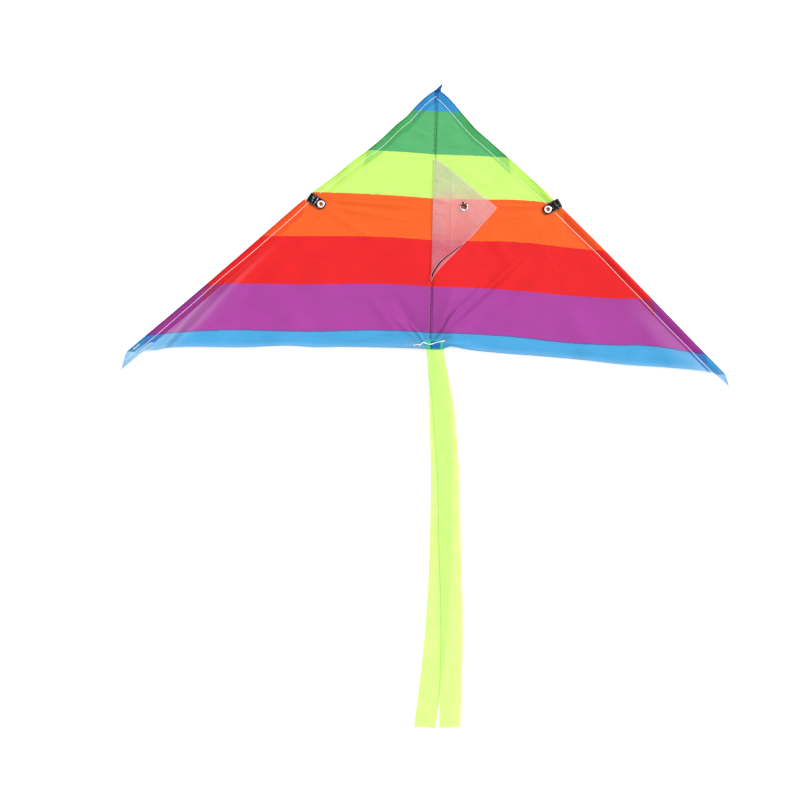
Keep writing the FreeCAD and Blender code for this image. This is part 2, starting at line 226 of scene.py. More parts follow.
# Each wrinkle: from, to, half width, height, how sharply creased its top is.
WRINKLES = {
    -1: [
        ((-128, 127), (-8, 126), 1.7, 0.75, 0.2), ((-127, 130), (-6, 135), 2.0, 1.15, 0.3),
        ((-126, 133), (-30, 142), 2.2, -0.85, 0.0),
        ((-126, 136), (-22, 152), 2.8, 0.80, 0.2), ((-124, 128), (-62, 112), 3.0, 0.60, 0.2),
        ((-100, 136), (-8, 146), 2.2, 0.60, 0.2),
        ((-122, 142), (-64, 176), 5.0, 0.80, 0.0), ((-128, 121), (-96, 98), 2.6, 0.60, 0.0),
        ((-118, 139), (-170, 186), 3.0, 0.60, 0.2),
        ((-150, 148), (-298, 300), 1.5, 0.8, 0.7), ((-168, 168), (-262, 256), 5.0, -0.7, 0.0),
        ((-261, 247), (-311, 306), 2.0, 0.5, 0.3),
        ((-118, 140), (-250, 300), 7.0, 0.7, 0.0), ((-100, 292), (-12, 272), 5.0, 0.9, 0.1),
        ((-8, 290), (-26, 268), 1.5, 1.3, 0.5), ((-12, 291), (-48, 258), 3.4, 0.8, 0.1),
        ((-16, 280), (-44, 238), 5.0, -0.8, 0.0),
        ((-180, 302), (-150, 262), 12.0, 1.3, 0.0), ((-40, 280), (-74, 236), 6.0, 0.7, 0.0),
        ((-300, 306), (-262, 262), 9.0, 0.9, 0.0), ((-230, 296), (-196, 210), 14.0, -0.9, 0.0),
        ((-60, 60), (-12, 66), 3.4, 0.70, 0.1), ((-36, 44), (-8, 54), 3.0, 0.70, 0.1),
        ((-46, 66), (-16, 73), 2.4, 0.5, 0.1),
        ((-80, 96), (-30, 90), 6.0, 0.5, 0.0), ((-98, 118), (-84, 84), 4.0, 0.5, 0.1),
    ],
    1: [
        ((127, 128), (76, 124), 1.8, 0.80, 0.2), ((126, 131), (70, 132), 1.9, 1.10, 0.3),
        ((124, 134), (78, 141), 2.2, -0.80, 0.0),
        ((124, 136), (74, 148), 2.6, 1.00, 0.3), ((122, 140), (60, 166), 3.2, 0.75, 0.1),
        ((124, 127), (96, 116), 2.6, 0.5, 0.1),
        ((123, 142), (66, 182), 5.5, 0.7, 0.0), ((131, 148), (121, 176), 1.6, 0.30, 0.4),
        ((138, 148), (150, 172), 3.0, 0.5, 0.1),
        ((3, 290), (24, 259), 1.3, 2.2, 0.6), ((19, 262), (44, 243), 1.3, 1.6, 0.5),
        ((22, 258), (60, 222), 1.6, 1.6, 0.4), ((44, 244), (100, 190), 2.6, 1.2, 0.3),
        ((30, 262), (82, 214), 2.6, -1.0, 0.0), ((10, 291), (112, 190), 5.5, 2.3, 0.1),
        ((34, 282), (112, 214), 6.0, -1.0, 0.0),
        ((8, 290), (40, 268), 4.5, -1.1, 0.0), ((60, 226), (150, 164), 9.0, 0.8, 0.0),
        ((30, 284), (120, 238), 6.0, 0.8, 0.0),
        ((9, 292), (46, 291), 2.6, 1.3, 0.2), ((26, 293), (90, 272), 6.0, -0.8, 0.0),
        ((8, 270), (24, 230), 5.0, 0.7, 0.0),
        ((190, 306), (150, 240), 14.0, 1.0, 0.0), ((284, 312), (240, 258), 10.0, 0.8, 0.0),
        ((112, 160), (150, 218), 1.6, 0.16, 0.6),
        ((60, 66), (12, 58), 5.0, 0.5, 0.0), ((90, 200), (64, 160), 8.0, 0.6, 0.0),
        ((48, 60), (22, 40), 4.0, 0.5, 0.1),
        ((30, 90), (70, 112), 5.0, 0.5, 0.1),
    ],
}


# ---------------------------------------------------------------- meshes
def mesh_object(name, verts, faces, materials, smooth_shade=True):
    me = bpy.data.meshes.new(name)
    me.from_pydata([tuple(v) for v in verts], [], [tuple(f) for f in faces])
    for m in materials:
        me.materials.append(m)
    if smooth_shade:
        me.polygons.foreach_set("use_smooth", [True] * len(me.polygons))
    me.update()
    o = bpy.data.objects.new(name, me)
    bpy.context.scene.collection.objects.link(o)
    return o


def grid_faces(rows, cols, start=0):
    """Faces of a grid whose vertex (r, c) is start + r * cols + c."""
    r, c = np.meshgrid(np.arange(rows - 1), np.arange(cols - 1), indexing="ij")
    a = (start + r * cols + c).ravel()
    return np.stack([a, a + 1, a + cols + 1, a + cols], axis=1)


def set_uv(me, name, values):
    layer = me.uv_layers.get(name) or me.uv_layers.new(name=name)
    loops = np.empty(len(me.loops), np.int32)
    me.loops.foreach_get("vertex_index", loops)
    layer.data.foreach_set("uv", np.asarray(values, np.float32)[loops].ravel())


def set_float(me, name, values):
    a = me.attributes.get(name) or me.attributes.new(name, "FLOAT", "POINT")
    a.data.foreach_set("value", np.asarray(values, np.float32))


# ---------------------------------------------------------------- materials
class Nodes:
    """A short way to write a material's nodes."""

    def __init__(self, name):
        self.material = bpy.data.materials.new(name)
        self.material.use_nodes = True
        self.tree = self.material.node_tree
        self.tree.nodes.clear()
        self.out = self.add("ShaderNodeOutputMaterial")

    def add(self, kind, **values):
        n = self.tree.nodes.new(kind)
        for k, v in values.items():
            setattr(n, k, v)
        return n

    def link(self, a, b):
        self.tree.links.new(a, b)

    def feed(self, socket, value):
        if isinstance(value, bpy.types.NodeSocket):
            self.link(value, socket)
        else:
            socket.default_value = value

    def math(self, op, a, b=0.0, c=None, clamp=False):
        n = self.add("ShaderNodeMath", operation=op, use_clamp=clamp)
        self.feed(n.inputs[0], a)
        self.feed(n.inputs[1], b)
        if c is not None:
            self.feed(n.inputs[2], c)
        return n.outputs[0]

    def mix(self, share, a, b, blend="MIX"):
        n = self.add("ShaderNodeMix", data_type="RGBA", blend_type=blend)
        self.feed(n.inputs["Factor"], share)
        self.feed(n.inputs["A"], a)
        self.feed(n.inputs["B"], b)
        return n.outputs["Result"]

    def uv(self, name):
        return self.add("ShaderNodeUVMap", uv_map=name).outputs["UV"]

    def parts(self, vector):
        n = self.add("ShaderNodeSeparateXYZ")
        self.link(vector, n.inputs[0])
        return n.outputs["X"], n.outputs["Y"], n.outputs["Z"]

    def attribute(self, name):
        return self.add("ShaderNodeAttribute", attribute_name=name).outputs["Fac"]

    def noise(self, vector, scale, detail=2.0, rough=0.5):
        n = self.add("ShaderNodeTexNoise")
        self.link(vector, n.inputs["Vector"])
        n.inputs["Scale"].default_value = scale
        n.inputs["Detail"].default_value = detail
        n.inputs["Roughness"].default_value = rough
        return n.outputs["Fac"]

    def ramp(self, value, stops, kind="LINEAR"):
        n = self.add("ShaderNodeValToRGB")
        self.link(value, n.inputs[0])
        ramp = n.color_ramp
        ramp.interpolation = kind
        while len(ramp.elements) < len(stops):
            ramp.elements.new(0.5)
        for e, (at, colour) in zip(ramp.elements, stops):
            e.position = at
            e.color = colour
        return n.outputs["Color"]

    def range(self, value, a, b, c=0.0, d=1.0, kind="SMOOTHSTEP"):
        n = self.add("ShaderNodeMapRange", interpolation_type=kind)
        self.feed(n.inputs["Value"], value)
        for name, v in zip(("From Min", "From Max", "To Min", "To Max"), (a, b, c, d)):
            n.inputs[name].default_value = v
        return n.outputs["Result"]

    def bump(self, height, strength, distance, normal=None):
        n = self.add("ShaderNodeBump")
        self.link(height, n.inputs["Height"])
        n.inputs["Strength"].default_value = strength
        n.inputs["Distance"].default_value = distance
        if normal is not None:
            self.link(normal, n.inputs["Normal"])
        return n.outputs["Normal"]


GAIN = 0.80
FRONT = [(60, 164, 220), (92, 190, 118), (214, 255, 126), (255, 104, 28), (243, 24, 30), (180, 66, 168),
    (76, 176, 231)]
BACK = [(150, 205, 236), (160, 214, 170), (226, 250, 170), (250, 170, 130), (240, 130, 132), (206, 140, 198),
    (160, 208, 239)]


def weave(n, vector, count):
    """A plain weave as a height, from two crossed sets of threads."""
    x, y, _ = n.parts(vector)
    warp = n.math("SINE", n.math("MULTIPLY", x, count))
    weft = n.math("SINE", n.math("MULTIPLY", y, count))
    return n.math("ADD", n.math("MULTIPLY", n.math("MULTIPLY", warp, weft), 0.5), 0.5)


def stripes(n, v, colours, gain):
    """The printed bands. The inks overlap in a thin darker line on both sides of the purple."""
    stops = [(0.0, linear(*colours[0], gain))]
    stops += [(at * MM / PRINT_LENGTH, linear(*c, gain)) for at, c in zip(STRIPES, colours[1:])]
    for at, lower, upper in ((STRIPES[4], colours[4], colours[5]), (STRIPES[5], colours[5], colours[6])):
        ink = tuple(0.86 * math.sqrt(a * b) for a, b in zip(lower, upper))
        stops.append(((at - 1.3) * MM / PRINT_LENGTH, linear(*ink, gain)))
    stops.sort(key=lambda stop: stop[0])
    return n.ramp(n.math("DIVIDE", v, PRINT_LENGTH), stops, "CONSTANT")


def sail_material(name, colours, gain, front):
    n = Nodes(name)
    cloth = n.uv("cloth")
    _, v, _ = n.parts(cloth)
    wander = n.math("MULTIPLY", n.math("SUBTRACT", n.noise(cloth, 160.0, 2.0), 0.5), 0.0012)
    base = stripes(n, n.math("ADD", v, wander), colours, gain)
    # Print density varies a little, in broad clouds and in a fine grain.
    cloud = n.noise(cloth, 38.0, 3.0, 0.55)
    grain = n.noise(cloth, 900.0, 2.0, 0.6)
    light = n.math("ADD", n.range(cloud, 0.3, 0.7, 0.975, 1.025), n.range(grain, 0.25, 0.75, -0.10, 0.10))
    stretched = n.add("ShaderNodeMapping")
    n.link(cloth, stretched.inputs["Vector"])
    stretched.inputs["Scale"].default_value = (26.0, 620.0, 1.0)
    streak = n.noise(stretched.outputs[0], 1.0, 3.0, 0.6)
    light = n.math("ADD", light, n.range(streak, 0.3, 0.7, -0.035, 0.035))
    # The painted shade of creases, folds and the seam darkens the print here.
    light = n.math("MULTIPLY", light, n.attribute("deep"))
    lit = n.add("ShaderNodeVectorMath", operation="SCALE")
    n.link(base, lit.inputs[0])
    n.link(light, lit.inputs["Scale"])
    # Painted light: the colour is mixed towards a pale blue-white where light shows through the thin cloth and
    # where crease edges catch it.
    colour = n.mix(n.attribute("painted_light"), lit.outputs[0], (0.80, 0.86, 0.90, 1))
    if front:
        under = stripes(n, n.parts(n.uv("under"))[1], FRONT, 1.0)
        soft = n.add("ShaderNodeGamma")
        n.link(under, soft.inputs[0])
        soft.inputs[1].default_value = 0.22
        thick = n.mix(1.0, colour, soft.outputs[0], "MULTIPLY")
        dim = n.add("ShaderNodeVectorMath", operation="SCALE")
        n.link(thick, dim.inputs[0])
        dim.inputs["Scale"].default_value = 0.98
        d = n.attribute("hem_d")
        doubled = n.range(d, HEM * MM - 0.0003, HEM * MM + 0.0003, 1.0, 0.0)
        colour = n.mix(doubled, colour, dim.outputs[0])
        # The turned edge is a thicker, deeper line.
        edge = n.range(d, 0.0004, 0.0028, 0.55, 0.0)
        colour = n.mix(edge, colour, n.mix(1.0, colour, colour, "MULTIPLY"))
        # The seam allowance behind shows as a darker band.
        # Its left edge is scalloped by the overlock stitches.
        s = n.attribute("seam_x")
        wave = n.math("ABSOLUTE", n.math("SINE", n.math("MULTIPLY", v, math.pi / 0.0061)))
        reach = n.math("ADD", n.math("MULTIPLY", wave, -0.0011), -0.0017)
        left = n.math("GREATER_THAN", s, reach)
        right = n.math("LESS_THAN", s, n.range(v, 0.020, 0.080, 0.0021, 0.0009))
        band = n.math("MULTIPLY", n.math("MULTIPLY", left, right), n.range(v, 0.074, 0.078, 0.42, 0.12))
        colour = n.mix(band, colour, n.mix(1.0, colour, n.mix(0.22, colour, (1, 1, 1, 1)), "MULTIPLY"))
        gap = n.math("ABSOLUTE", n.math("ADD", s, 0.0014))
        core = n.math("MULTIPLY", n.math("MULTIPLY", n.range(gap, 0.0003, 0.0011, 0.95, 0.0),
            n.math("MULTIPLY_ADD", wave, 0.55, 0.55)),
            n.math("ADD", n.range(v, 0.070, 0.078, 0.50, 0.05),
            n.math("ADD", n.range(v, 0.121, 0.126, 0.0, 0.35), n.range(v, 0.218, 0.226, 0.0, 0.55))))
        shade = n.mix(n.range(v, 0.070, 0.085), linear(60, 190, 90), (0.22, 0.04, 0.16, 1))
        deep = n.mix(1.0, colour, n.mix(0.55, colour, shade), "MULTIPLY")
        colour = n.mix(core, colour, deep)
        thread = n.math("MULTIPLY", n.range(n.math("ABSOLUTE", n.math("ADD", s, 0.0028)), 0.0001, 0.0005,
            0.05, 0.0),
                        n.math("MULTIPLY", wave, n.range(v, 0.219, 0.224)))
        colour = n.mix(thread, colour, (0.95, 0.90, 0.95, 1))
        dart = n.math("MULTIPLY", n.range(n.math("ABSOLUTE", n.math("ADD", s, 0.0020)), 0.0003, 0.0010, 0.80,
            0.0),
                      n.range(v, 0.012, 0.026, 1.0, 0.0))
        colour = n.mix(dart, colour, linear(14, 70, 150, gain))
        # The ribbons' tops, sewn on behind, show through as teal and dark blue.
        tail = n.attribute("tail_mask")
        colour = n.mix(n.range(tail, 0.05, 0.45), colour, linear(66, 205, 170, gain))
        colour = n.mix(n.range(tail, 0.55, 0.95), colour, linear(24, 116, 200, gain))
    threads = weave(n, cloth, 2 * math.pi / 0.00042)
    fine = n.bump(threads, 0.10, 0.00004)
    slub = n.bump(n.noise(cloth, 420.0, 3.0, 0.6), 0.25, 0.00012, fine)
    slub = n.bump(n.noise(cloth, 70.0, 4.0, 0.6), 0.30, 0.0010, slub)
    p = n.add("ShaderNodeBsdfPrincipled")
    n.link(colour, p.inputs["Base Color"])
    p.inputs["Roughness"].default_value = 0.62
    p.inputs["Specular IOR Level"].default_value = 0.28
    p.inputs["Sheen Weight"].default_value = 0.06
    n.link(slub, p.inputs["Normal"])
    t = n.add("ShaderNodeBsdfTranslucent")
    n.link(colour, t.inputs["Color"])
    n.link(slub, t.inputs["Normal"])
    m = n.add("ShaderNodeMixShader")
    m.inputs[0].default_value = 0.22
    n.link(p.outputs[0], m.inputs[1])
    n.link(t.outputs[0], m.inputs[2])
    n.link(m.outputs[0], n.out.inputs["Surface"])
    return n.material


def sheer_material(name, colour, alpha, gain=GAIN, mottle=0.04, painted_light_and_shade=None):
    """Thin see-through cloth: part is a dyed thread, and part lets what is behind it through."""
    n = Nodes(name)
    cloth = n.uv("cloth")
    cloud = n.noise(cloth, 60.0, 3.0, 0.55)
    grain = n.noise(cloth, 1100.0, 2.0, 0.6)
    base = n.mix(n.range(cloud, 0.3, 0.7, 0.0, 1.0), linear(*[0.965 * c for c in colour], gain),
        linear(*colour, gain))
    solid = alpha
    if painted_light_and_shade:
        # Painted light: the thin white cloth is painted the colour of the light that comes up through the print
        # below it.
        v = n.parts(cloth)[1]
        lit = n.ramp(n.math("DIVIDE", v, PRINT_LENGTH),
            [(at * MM / PRINT_LENGTH, linear(*c, gain)) for at, c in painted_light_and_shade])
        base = n.mix(n.range(cloud, 0.3, 0.7, 0.0, 1.0), lit,
            n.mix(1.0, lit, (0.93, 0.93, 0.93, 1), "MULTIPLY"))
        # Painted shade: the gap between the two plies is painted dark as deep shade.
        slit_shade = n.attribute("slit_shade")
        # The lower ply's uncovered strip is painted pink and made more solid, as the light from the red print
        # below.
        base = n.mix(n.attribute("strip"), base, linear(222, 134, 148, gain))
        base = n.mix(slit_shade, base, linear(78, 0, 4, gain))
        solid = n.math("MULTIPLY_ADD", n.attribute("strip"), 0.34, n.math("MULTIPLY_ADD", slit_shade, 0.64, alpha))
    threads = weave(n, cloth, 2 * math.pi / 0.00045)
    normal = n.bump(n.noise(cloth, 420.0, 3.0, 0.6), 0.25, 0.00012, n.bump(threads, 0.10, 0.00004))
    p = n.add("ShaderNodeBsdfPrincipled")
    n.link(base, p.inputs["Base Color"])
    p.inputs["Roughness"].default_value = 0.6
    p.inputs["Specular IOR Level"].default_value = 0.25
    n.link(normal, p.inputs["Normal"])
    t = n.add("ShaderNodeBsdfTranslucent")
    n.link(base, t.inputs["Color"])
    both = n.add("ShaderNodeMixShader")
    both.inputs[0].default_value = 0.3
    n.link(p.outputs[0], both.inputs[1])
    n.link(t.outputs[0], both.inputs[2])
    clear = n.add("ShaderNodeBsdfTransparent")
    m = n.add("ShaderNodeMixShader")
    patch = n.range(n.noise(cloth, 48.0, 4.0, 0.6), 0.25, 0.75, -mottle, mottle)
    fine = n.math("ADD", n.range(grain, 0.3, 0.7, -0.07, 0.07), patch)
    n.link(n.math("ADD", fine, solid, clamp=True), m.inputs[0])
    n.link(clear.outputs[0], m.inputs[1])
    n.link(both.outputs[0], m.inputs[2])
    n.link(m.outputs[0], n.out.inputs["Surface"])
    return n.material


def hard_material(name, colour, rough, metal=0.0, grain=0.0, scale=400.0, coat=0.0, spec=0.5, vary=0.06,
        painted_highlight=None):
    """Moulded plastic, vinyl, rod or metal, with uneven gloss and a fine grain."""
    n = Nodes(name)
    where = n.add("ShaderNodeTexCoord").outputs["Object"]
    cloud = n.noise(where, scale * 0.4, 3.0)
    speck = n.noise(where, scale * 3.0, 2.0)
    low = tuple(c * (1 - vary) for c in colour)
    base = n.mix(n.range(cloud, 0.3, 0.7), linear(*low), linear(*colour))
    if painted_highlight:
        # Painted highlights: where the strip is bent its surface is painted pale in broken streaks, as glossy
        # highlights.
        streak = n.math("MULTIPLY", n.attribute("painted_highlight"), n.range(n.noise(where, 620.0, 3.0, 0.7), 0.42, 0.60))
        base = n.mix(streak, base, linear(*painted_highlight))
    p = n.add("ShaderNodeBsdfPrincipled")
    n.link(base, p.inputs["Base Color"])
    p.inputs["Metallic"].default_value = metal
    p.inputs["Specular IOR Level"].default_value = spec
    p.inputs["Coat Weight"].default_value = coat
    n.link(n.range(speck, 0.3, 0.7, rough * 0.85, min(1.0, rough * 1.2)), p.inputs["Roughness"])
    if grain:
        n.link(n.bump(speck, grain, 0.0001), p.inputs["Normal"])
    n.link(p.outputs[0], n.out.inputs["Surface"])
    return n.material


SAIL_FRONT = sail_material("sail_front", FRONT, GAIN, True)
SAIL_BACK = sail_material("sail_back", BACK, GAIN, False)
# Painted light: the keel's colour down its length, as the light through the print below tints it.
KEEL_PAINTED_LIGHT = [(79, (212, 212, 195)), (112, (222, 216, 198)), (126, (240, 196, 196)), (150, (232, 184, 190)),
              (182, (220, 144, 162)), (222, (220, 146, 160))]
KEEL_CLOTH = sheer_material("keel_cloth", (226, 190, 204), 0.36, 1.0, mottle=0.07, painted_light_and_shade=KEEL_PAINTED_LIGHT)
RIBBON_CLOTH = sheer_material("ribbon_cloth", (206, 250, 134), 0.96, 1.0)
POCKET_CLOTH = sheer_material("pocket_cloth", (28, 92, 178), 0.97)
LINING_CLOTH = sheer_material("lining_cloth", (240, 240, 238), 0.97)
VINYL = hard_material("black_vinyl", (10, 9, 10), 0.30, grain=0.5, scale=420.0, spec=0.13,
    painted_highlight=(215, 213, 215))
NICKEL = hard_material("eyelet_nickel", (250, 250, 252), 0.34, metal=1.0, grain=0.05, scale=900.0)
TARNISH = hard_material("tarnished_clinch", (58, 44, 42), 0.4, metal=0.3, grain=0.3, scale=900.0, spec=0.3)
ROD = hard_material("fibreglass_rod", (226, 226, 216), 0.42, grain=0.10, scale=700.0)
CAP = hard_material("white_vinyl_cap", (232, 232, 228), 0.36, grain=0.08, scale=600.0)
BEAD = hard_material("keel_cut_edge", (240, 176, 190), 0.6, grain=0.3, scale=900.0, spec=0.2)
THREAD = hard_material("sewing_thread", (246, 244, 240), 0.72, grain=0.5, scale=2500.0, spec=0.2)


# ---------------------------------------------------------------- sail halves
COLS, EDGE_ROWS, OPEN_ROWS = 340, 26, 190

# Painted shade along tight creases that run out from the tack: from, to, half width, how dark.
PAINTED_CREASE_SHADE = {
    -1: [((-9, 291), (-20, 276), 1.2, 0.26), ((-20, 276), (-34, 268), 1.4, 0.10),
    ((-6, 292), (-12, 270), 1.6, 0.10)],
    1: [((2, 291), (9, 282), 1.1, 0.30), ((9, 282), (14, 275), 1.1, 0.30), ((14, 275), (19, 261), 1.1, 0.34),
        ((19, 261), (27, 253), 1.0, 0.26), ((27, 253), (45, 238), 1.2, 0.10),
        ((8, 290), (24, 282), 1.6, 0.14)],
}


def painted_light_and_shade(side, x, y, d):
    """Painted light and painted shade on the cloth: where it is painted paler, as light showing through the thin
    cloth and as highlights along creases, and where it is painted darker, as shade by the seam, in creases and in
    folds.
    """
    painted_light = np.zeros_like(x)
    deep = np.ones_like(x)
    trail = smooth(TRAIL[side], x)
    # Painted light makes the cloth paler near the tips, along the lower edge and by the tack; painted shade makes
    # it darker by the seam, in creases and in folds.
    painted_light += 0.07 * step(170, 290, x) * np.exp(-((d - 17) / 13.0) ** 2) * (d > HEM) * step(225, 262, y)
    painted_light += 0.16 * step(280, 335, x) * (1 - step(14, 26, d)) * (d > HEM)
    deep -= 0.16 * np.exp(-(x / 26) ** 2) * step(205, 275, y)
    painted_light += 0.10 * (1 - step(0, 7, trail - y)) * step(20, 60, x)
    if side < 0:
        painted_light += 0.10 * np.exp(-((x - 19) / 11) ** 2 - ((y - 296) / 5.0) ** 2)
        painted_light += 0.05 * step(282, 296, y) * (1 - step(30, 70, x))
        deep -= 0.10 * step(195, 250, y) * (1 - step(HEM - 1, HEM + 1, d))
        # The cloth was stored folded: a crease with a sharp inner side and a darker band towards the edge, and
        # painted highlights along the crease.
        inside = smooth([(173, 175.5), (227.4, 230.6), (282.6, 280.0), (300.3, 298.0)], y)
        outside = smooth([(173, 181.0), (247.6, 261.2), (306.4, 311.7)], y)
        along = step(168, 235, y)
        deep -= 0.19 * along * step(-0.6, 0.8, x - inside) * (1 - step(-7.0, 2.0, x - outside)) * (d > HEM)
        painted_light += 0.05 * along * np.exp(-((x - inside + 4.0) / 4.0) ** 2)
        painted_light += 0.10 * along * np.exp(-((x - outside) / 2.5) ** 2) * (d > HEM)
    else:
        deep -= 0.10 * np.exp(-((x - 14) / 12) ** 2) * step(270, 290, y)
    # Painted shade along the tight creases by the tack.
    for a, b, wide, strong in PAINTED_CREASE_SHADE[side]:
        off, t = segment(side * x, y, a, b)
        deep -= strong * np.exp(-(off / wide) ** 2) * step(-0.08, 0.1, t) * (1 - step(0.9, 1.08, t))
    return np.clip(painted_light, 0, 0.8), np.clip(deep, 0.5, 1.1)


def sail_half(side):
    name = "sail_right_cloth" if side > 0 else "sail_left_cloth"
    tip = TIP[side]
    across = np.linspace(0, tip, COLS)
    lead = smooth(LEAD[side], across)
    trail = np.maximum(smooth(TRAIL[side], across), lead)
    tx, ty = lead_dir(side, across)
    fine = np.minimum(15.0 / tx, 0.55 * (trail - lead))
    q = np.concatenate([np.linspace(0, 1, EDGE_ROWS) ** 1.25, np.ones(OPEN_ROWS)])
    g = np.concatenate([np.zeros(EDGE_ROWS), np.linspace(0, 1, OPEN_ROWS + 1)[1:]])
    y = lead[None, :] + fine[None, :] * q[:, None] + (trail - lead - fine)[None, :] * g[:, None]
    x = np.broadcast_to(across[None, :], y.shape)
    d = (y - lead[None, :]) * tx[None, :]
    z = sail_height(side, x, y, d)
    # The free lower edge lifts and dips in soft waves.
    low = step(14, 0, trail[None, :] - y)
    z = z + low * (0.5 * np.sin(x / 17.0 + side) - 0.3)
    rows = y.shape[0]
    main = place(side * x, y, z).reshape(-1, 3)
    v_main = (y - drift(side, x, y)) * MM
    uv_main = np.stack([side * x * MM, v_main], axis=-1).reshape(-1, 2)
    # What lies behind the main cloth is its own hem, folded over, so its print is mirrored in the fold.
    nx, ny = -ty, tx
    mx, my = x - 2 * d * nx[None, :], y - 2 * d * ny[None, :]
    uv_under = np.stack([side * mx * MM, (my - drift(side, mx, my)) * MM], axis=-1).reshape(-1, 2)
    dist = d * MM

    # The hem behind, from the fold to its cut edge, running past the tip as a small ear.
    hem_rows = 14
    w = np.linspace(0, HEM, hem_rows)
    ear = EAR[side]
    ear_run = np.array([ear[0] - tip, ear[1] - lead[-1]])
    t = np.array([tx[-1], ty[-1]])
    n_tip = np.array([nx[-1], ny[-1]])
    ear_along, ear_in = ear_run @ t, ear_run @ n_tip
    pull = step(0.86 * tip, tip, across)
    into = w[:, None] * (1 + pull[None, :] * (ear_in / HEM - 1))
    along = pull[None, :] * w[:, None] * ear_along / HEM
    hx = across[None, :] + nx[None, :] * into + tx[None, :] * along
    hy = lead[None, :] + ny[None, :] * into + ty[None, :] * along
    hx = np.maximum(hx, 0.0)
    top = sail_height(side, hx, hy, np.broadcast_to(w[:, None], hx.shape))
    hz = top - 2.4 * ROD_RISE * rod_rise(side, hx, hy) - 0.32 * step(0, 2.0, w)[:, None]
    curl = step(tip - 6, tip + 6, hx)
    hz = hz - 1.6 * curl * step(4, HEM, w)[:, None]
    hem = place(side * hx, hy, hz)
    hem[0] = main.reshape(rows, COLS, 3)[0]
    bx, by = hx - 2 * w[:, None] * nx[None, :], hy - 2 * w[:, None] * ny[None, :]
    v_hem = (by - drift(side, bx, by)) * MM
    v_hem = np.where(hx > tip - 36, np.maximum(v_hem, 0.2835), v_hem)
    uv_hem = np.stack([side * bx * MM, v_hem], axis=-1)
    count = rows * COLS
    verts = np.concatenate([main, hem[1:].reshape(-1, 3)])
    uv1 = np.concatenate([uv_main, uv_hem[1:].reshape(-1, 2)])
    uv2 = np.concatenate([uv_under, uv_hem[1:].reshape(-1, 2)])
    hem_d = np.concatenate([dist.ravel(), np.full((hem_rows - 1) * COLS, 0.05)])
    seam = np.concatenate([(side * x * MM).ravel(), np.full((hem_rows - 1) * COLS, 0.05)])
    # Under the strap the sleeve is cut away and the edge is single.
    hem_d[:count] += 0.03 * (np.exp(-((x.ravel() - 139) / 9.0) ** 4))
    # Painted light and painted shade for every point of the cloth.
    painted_light, deep = painted_light_and_shade(side, x.ravel(), y.ravel(), d.ravel())
    painted_light = np.concatenate([painted_light, np.zeros((hem_rows - 1) * COLS)])
    deep = np.concatenate([deep, np.ones((hem_rows - 1) * COLS)])

    f_main = grid_faces(rows, COLS)
    index = np.concatenate([np.arange(COLS)[None, :],
        count + np.arange((hem_rows - 1) * COLS).reshape(-1, COLS)])
    a, b = index[:-1, :-1].ravel(), index[:-1, 1:].ravel()
    c, e = index[1:, 1:].ravel(), index[1:, :-1].ravel()
    f_hem = np.stack([b, a, e, c], axis=1)
    if side > 0:
        f_main, f_hem = f_main[:, ::-1], f_hem[:, ::-1]
    faces = np.concatenate([f_main, f_hem])
    # Room for the strap's loop round the bare rod.
    eye = STRAP[side]
    ex, ey = abs(eye[0]) / MM, NOSE_Y - eye[1] / MM
    joint = JOINTS["tab_right_swing" if side > 0 else "tab_left_swing"]
    cx, cy = abs(joint["pos_m"][0]) / MM, NOSE_Y - joint["pos_m"][1] / MM
    ux, uy = ex - cx, ey - cy
    ul = math.hypot(ux, uy)
    ux, uy = ux / ul, uy / ul
    px = np.abs(verts[:, 0]) / MM
    py = NOSE_Y - verts[:, 1] / MM
    su = (px - cx) * ux + (py - cy) * uy
    sv = -(px - cx) * uy + (py - cy) * ux
    fu, fv = su[faces].mean(axis=1), sv[faces].mean(axis=1)
    keep = ~((np.abs(fv) < 5.7) & (fu > -12) & (fu < 5.1))
    # Faces squeezed to nothing at the tip go too.
    p = verts[faces]
    area = np.linalg.norm(np.cross(p[:, 2] - p[:, 0], p[:, 3] - p[:, 1]), axis=1)
    keep &= area > 1e-11
    o = mesh_object(name, verts, faces[keep].tolist(), [SAIL_FRONT, SAIL_BACK])
    me = o.data
    set_uv(me, "cloth", uv1)
    set_uv(me, "under", uv2)
    set_float(me, "hem_d", hem_d)
    set_float(me, "seam_x", seam)
    set_float(me, "painted_light", painted_light)
    set_float(me, "deep", deep)
    # Where the ribbons' tops are sewn behind: 0 none, about a half teal, 1 dark blue.
    kx, ky = verts[:, 0] / MM, NOSE_Y - verts[:, 1] / MM
    inside = step(-6.6, -5.8, kx) * (1 - step(12.8, 13.8, kx)) * step(287.2, 288.6, ky)
    blue = step(-1.0, 0.2, kx) * (1 - step(10.4, 11.2, kx)) * (1 - step(296.6, 297.6, ky))
    mask = inside * (0.5 + 0.5 * blue)
    mask[count:] = 0
    set_float(me, "tail_mask", mask)
    bm = bmesh.new()
    bm.from_mesh(me)
    bmesh.ops.delete(bm, geom=[v for v in bm.verts if not v.link_faces], context="VERTS")
    bm.to_mesh(me)
    bm.free()
    sol = o.modifiers.new("cloth", "SOLIDIFY")
    sol.thickness = 0.00012
    sol.offset = -1.0
    sol.material_offset = 1
    sol.material_offset_rim = 0
    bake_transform(o)
    return o


def flat_area(side):
    x = np.linspace(0, TIP[side], 400)
    open_cloth = np.trapz(np.maximum(smooth(TRAIL[side], x) - smooth(LEAD[side], x), 0), x)
    tx, _ = lead_dir(side, x)
    edge = np.trapz(1 / tx, x)
    return (open_cloth + (edge + 6) * HEM) * 1e-6


for side in (-1, 1):
    o = sail_half(side)
    if side < 0:
        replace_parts(o, "sail_left", "sail_centre_strip")
    else:
        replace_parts(o, "sail_right")
    flat_area(side)


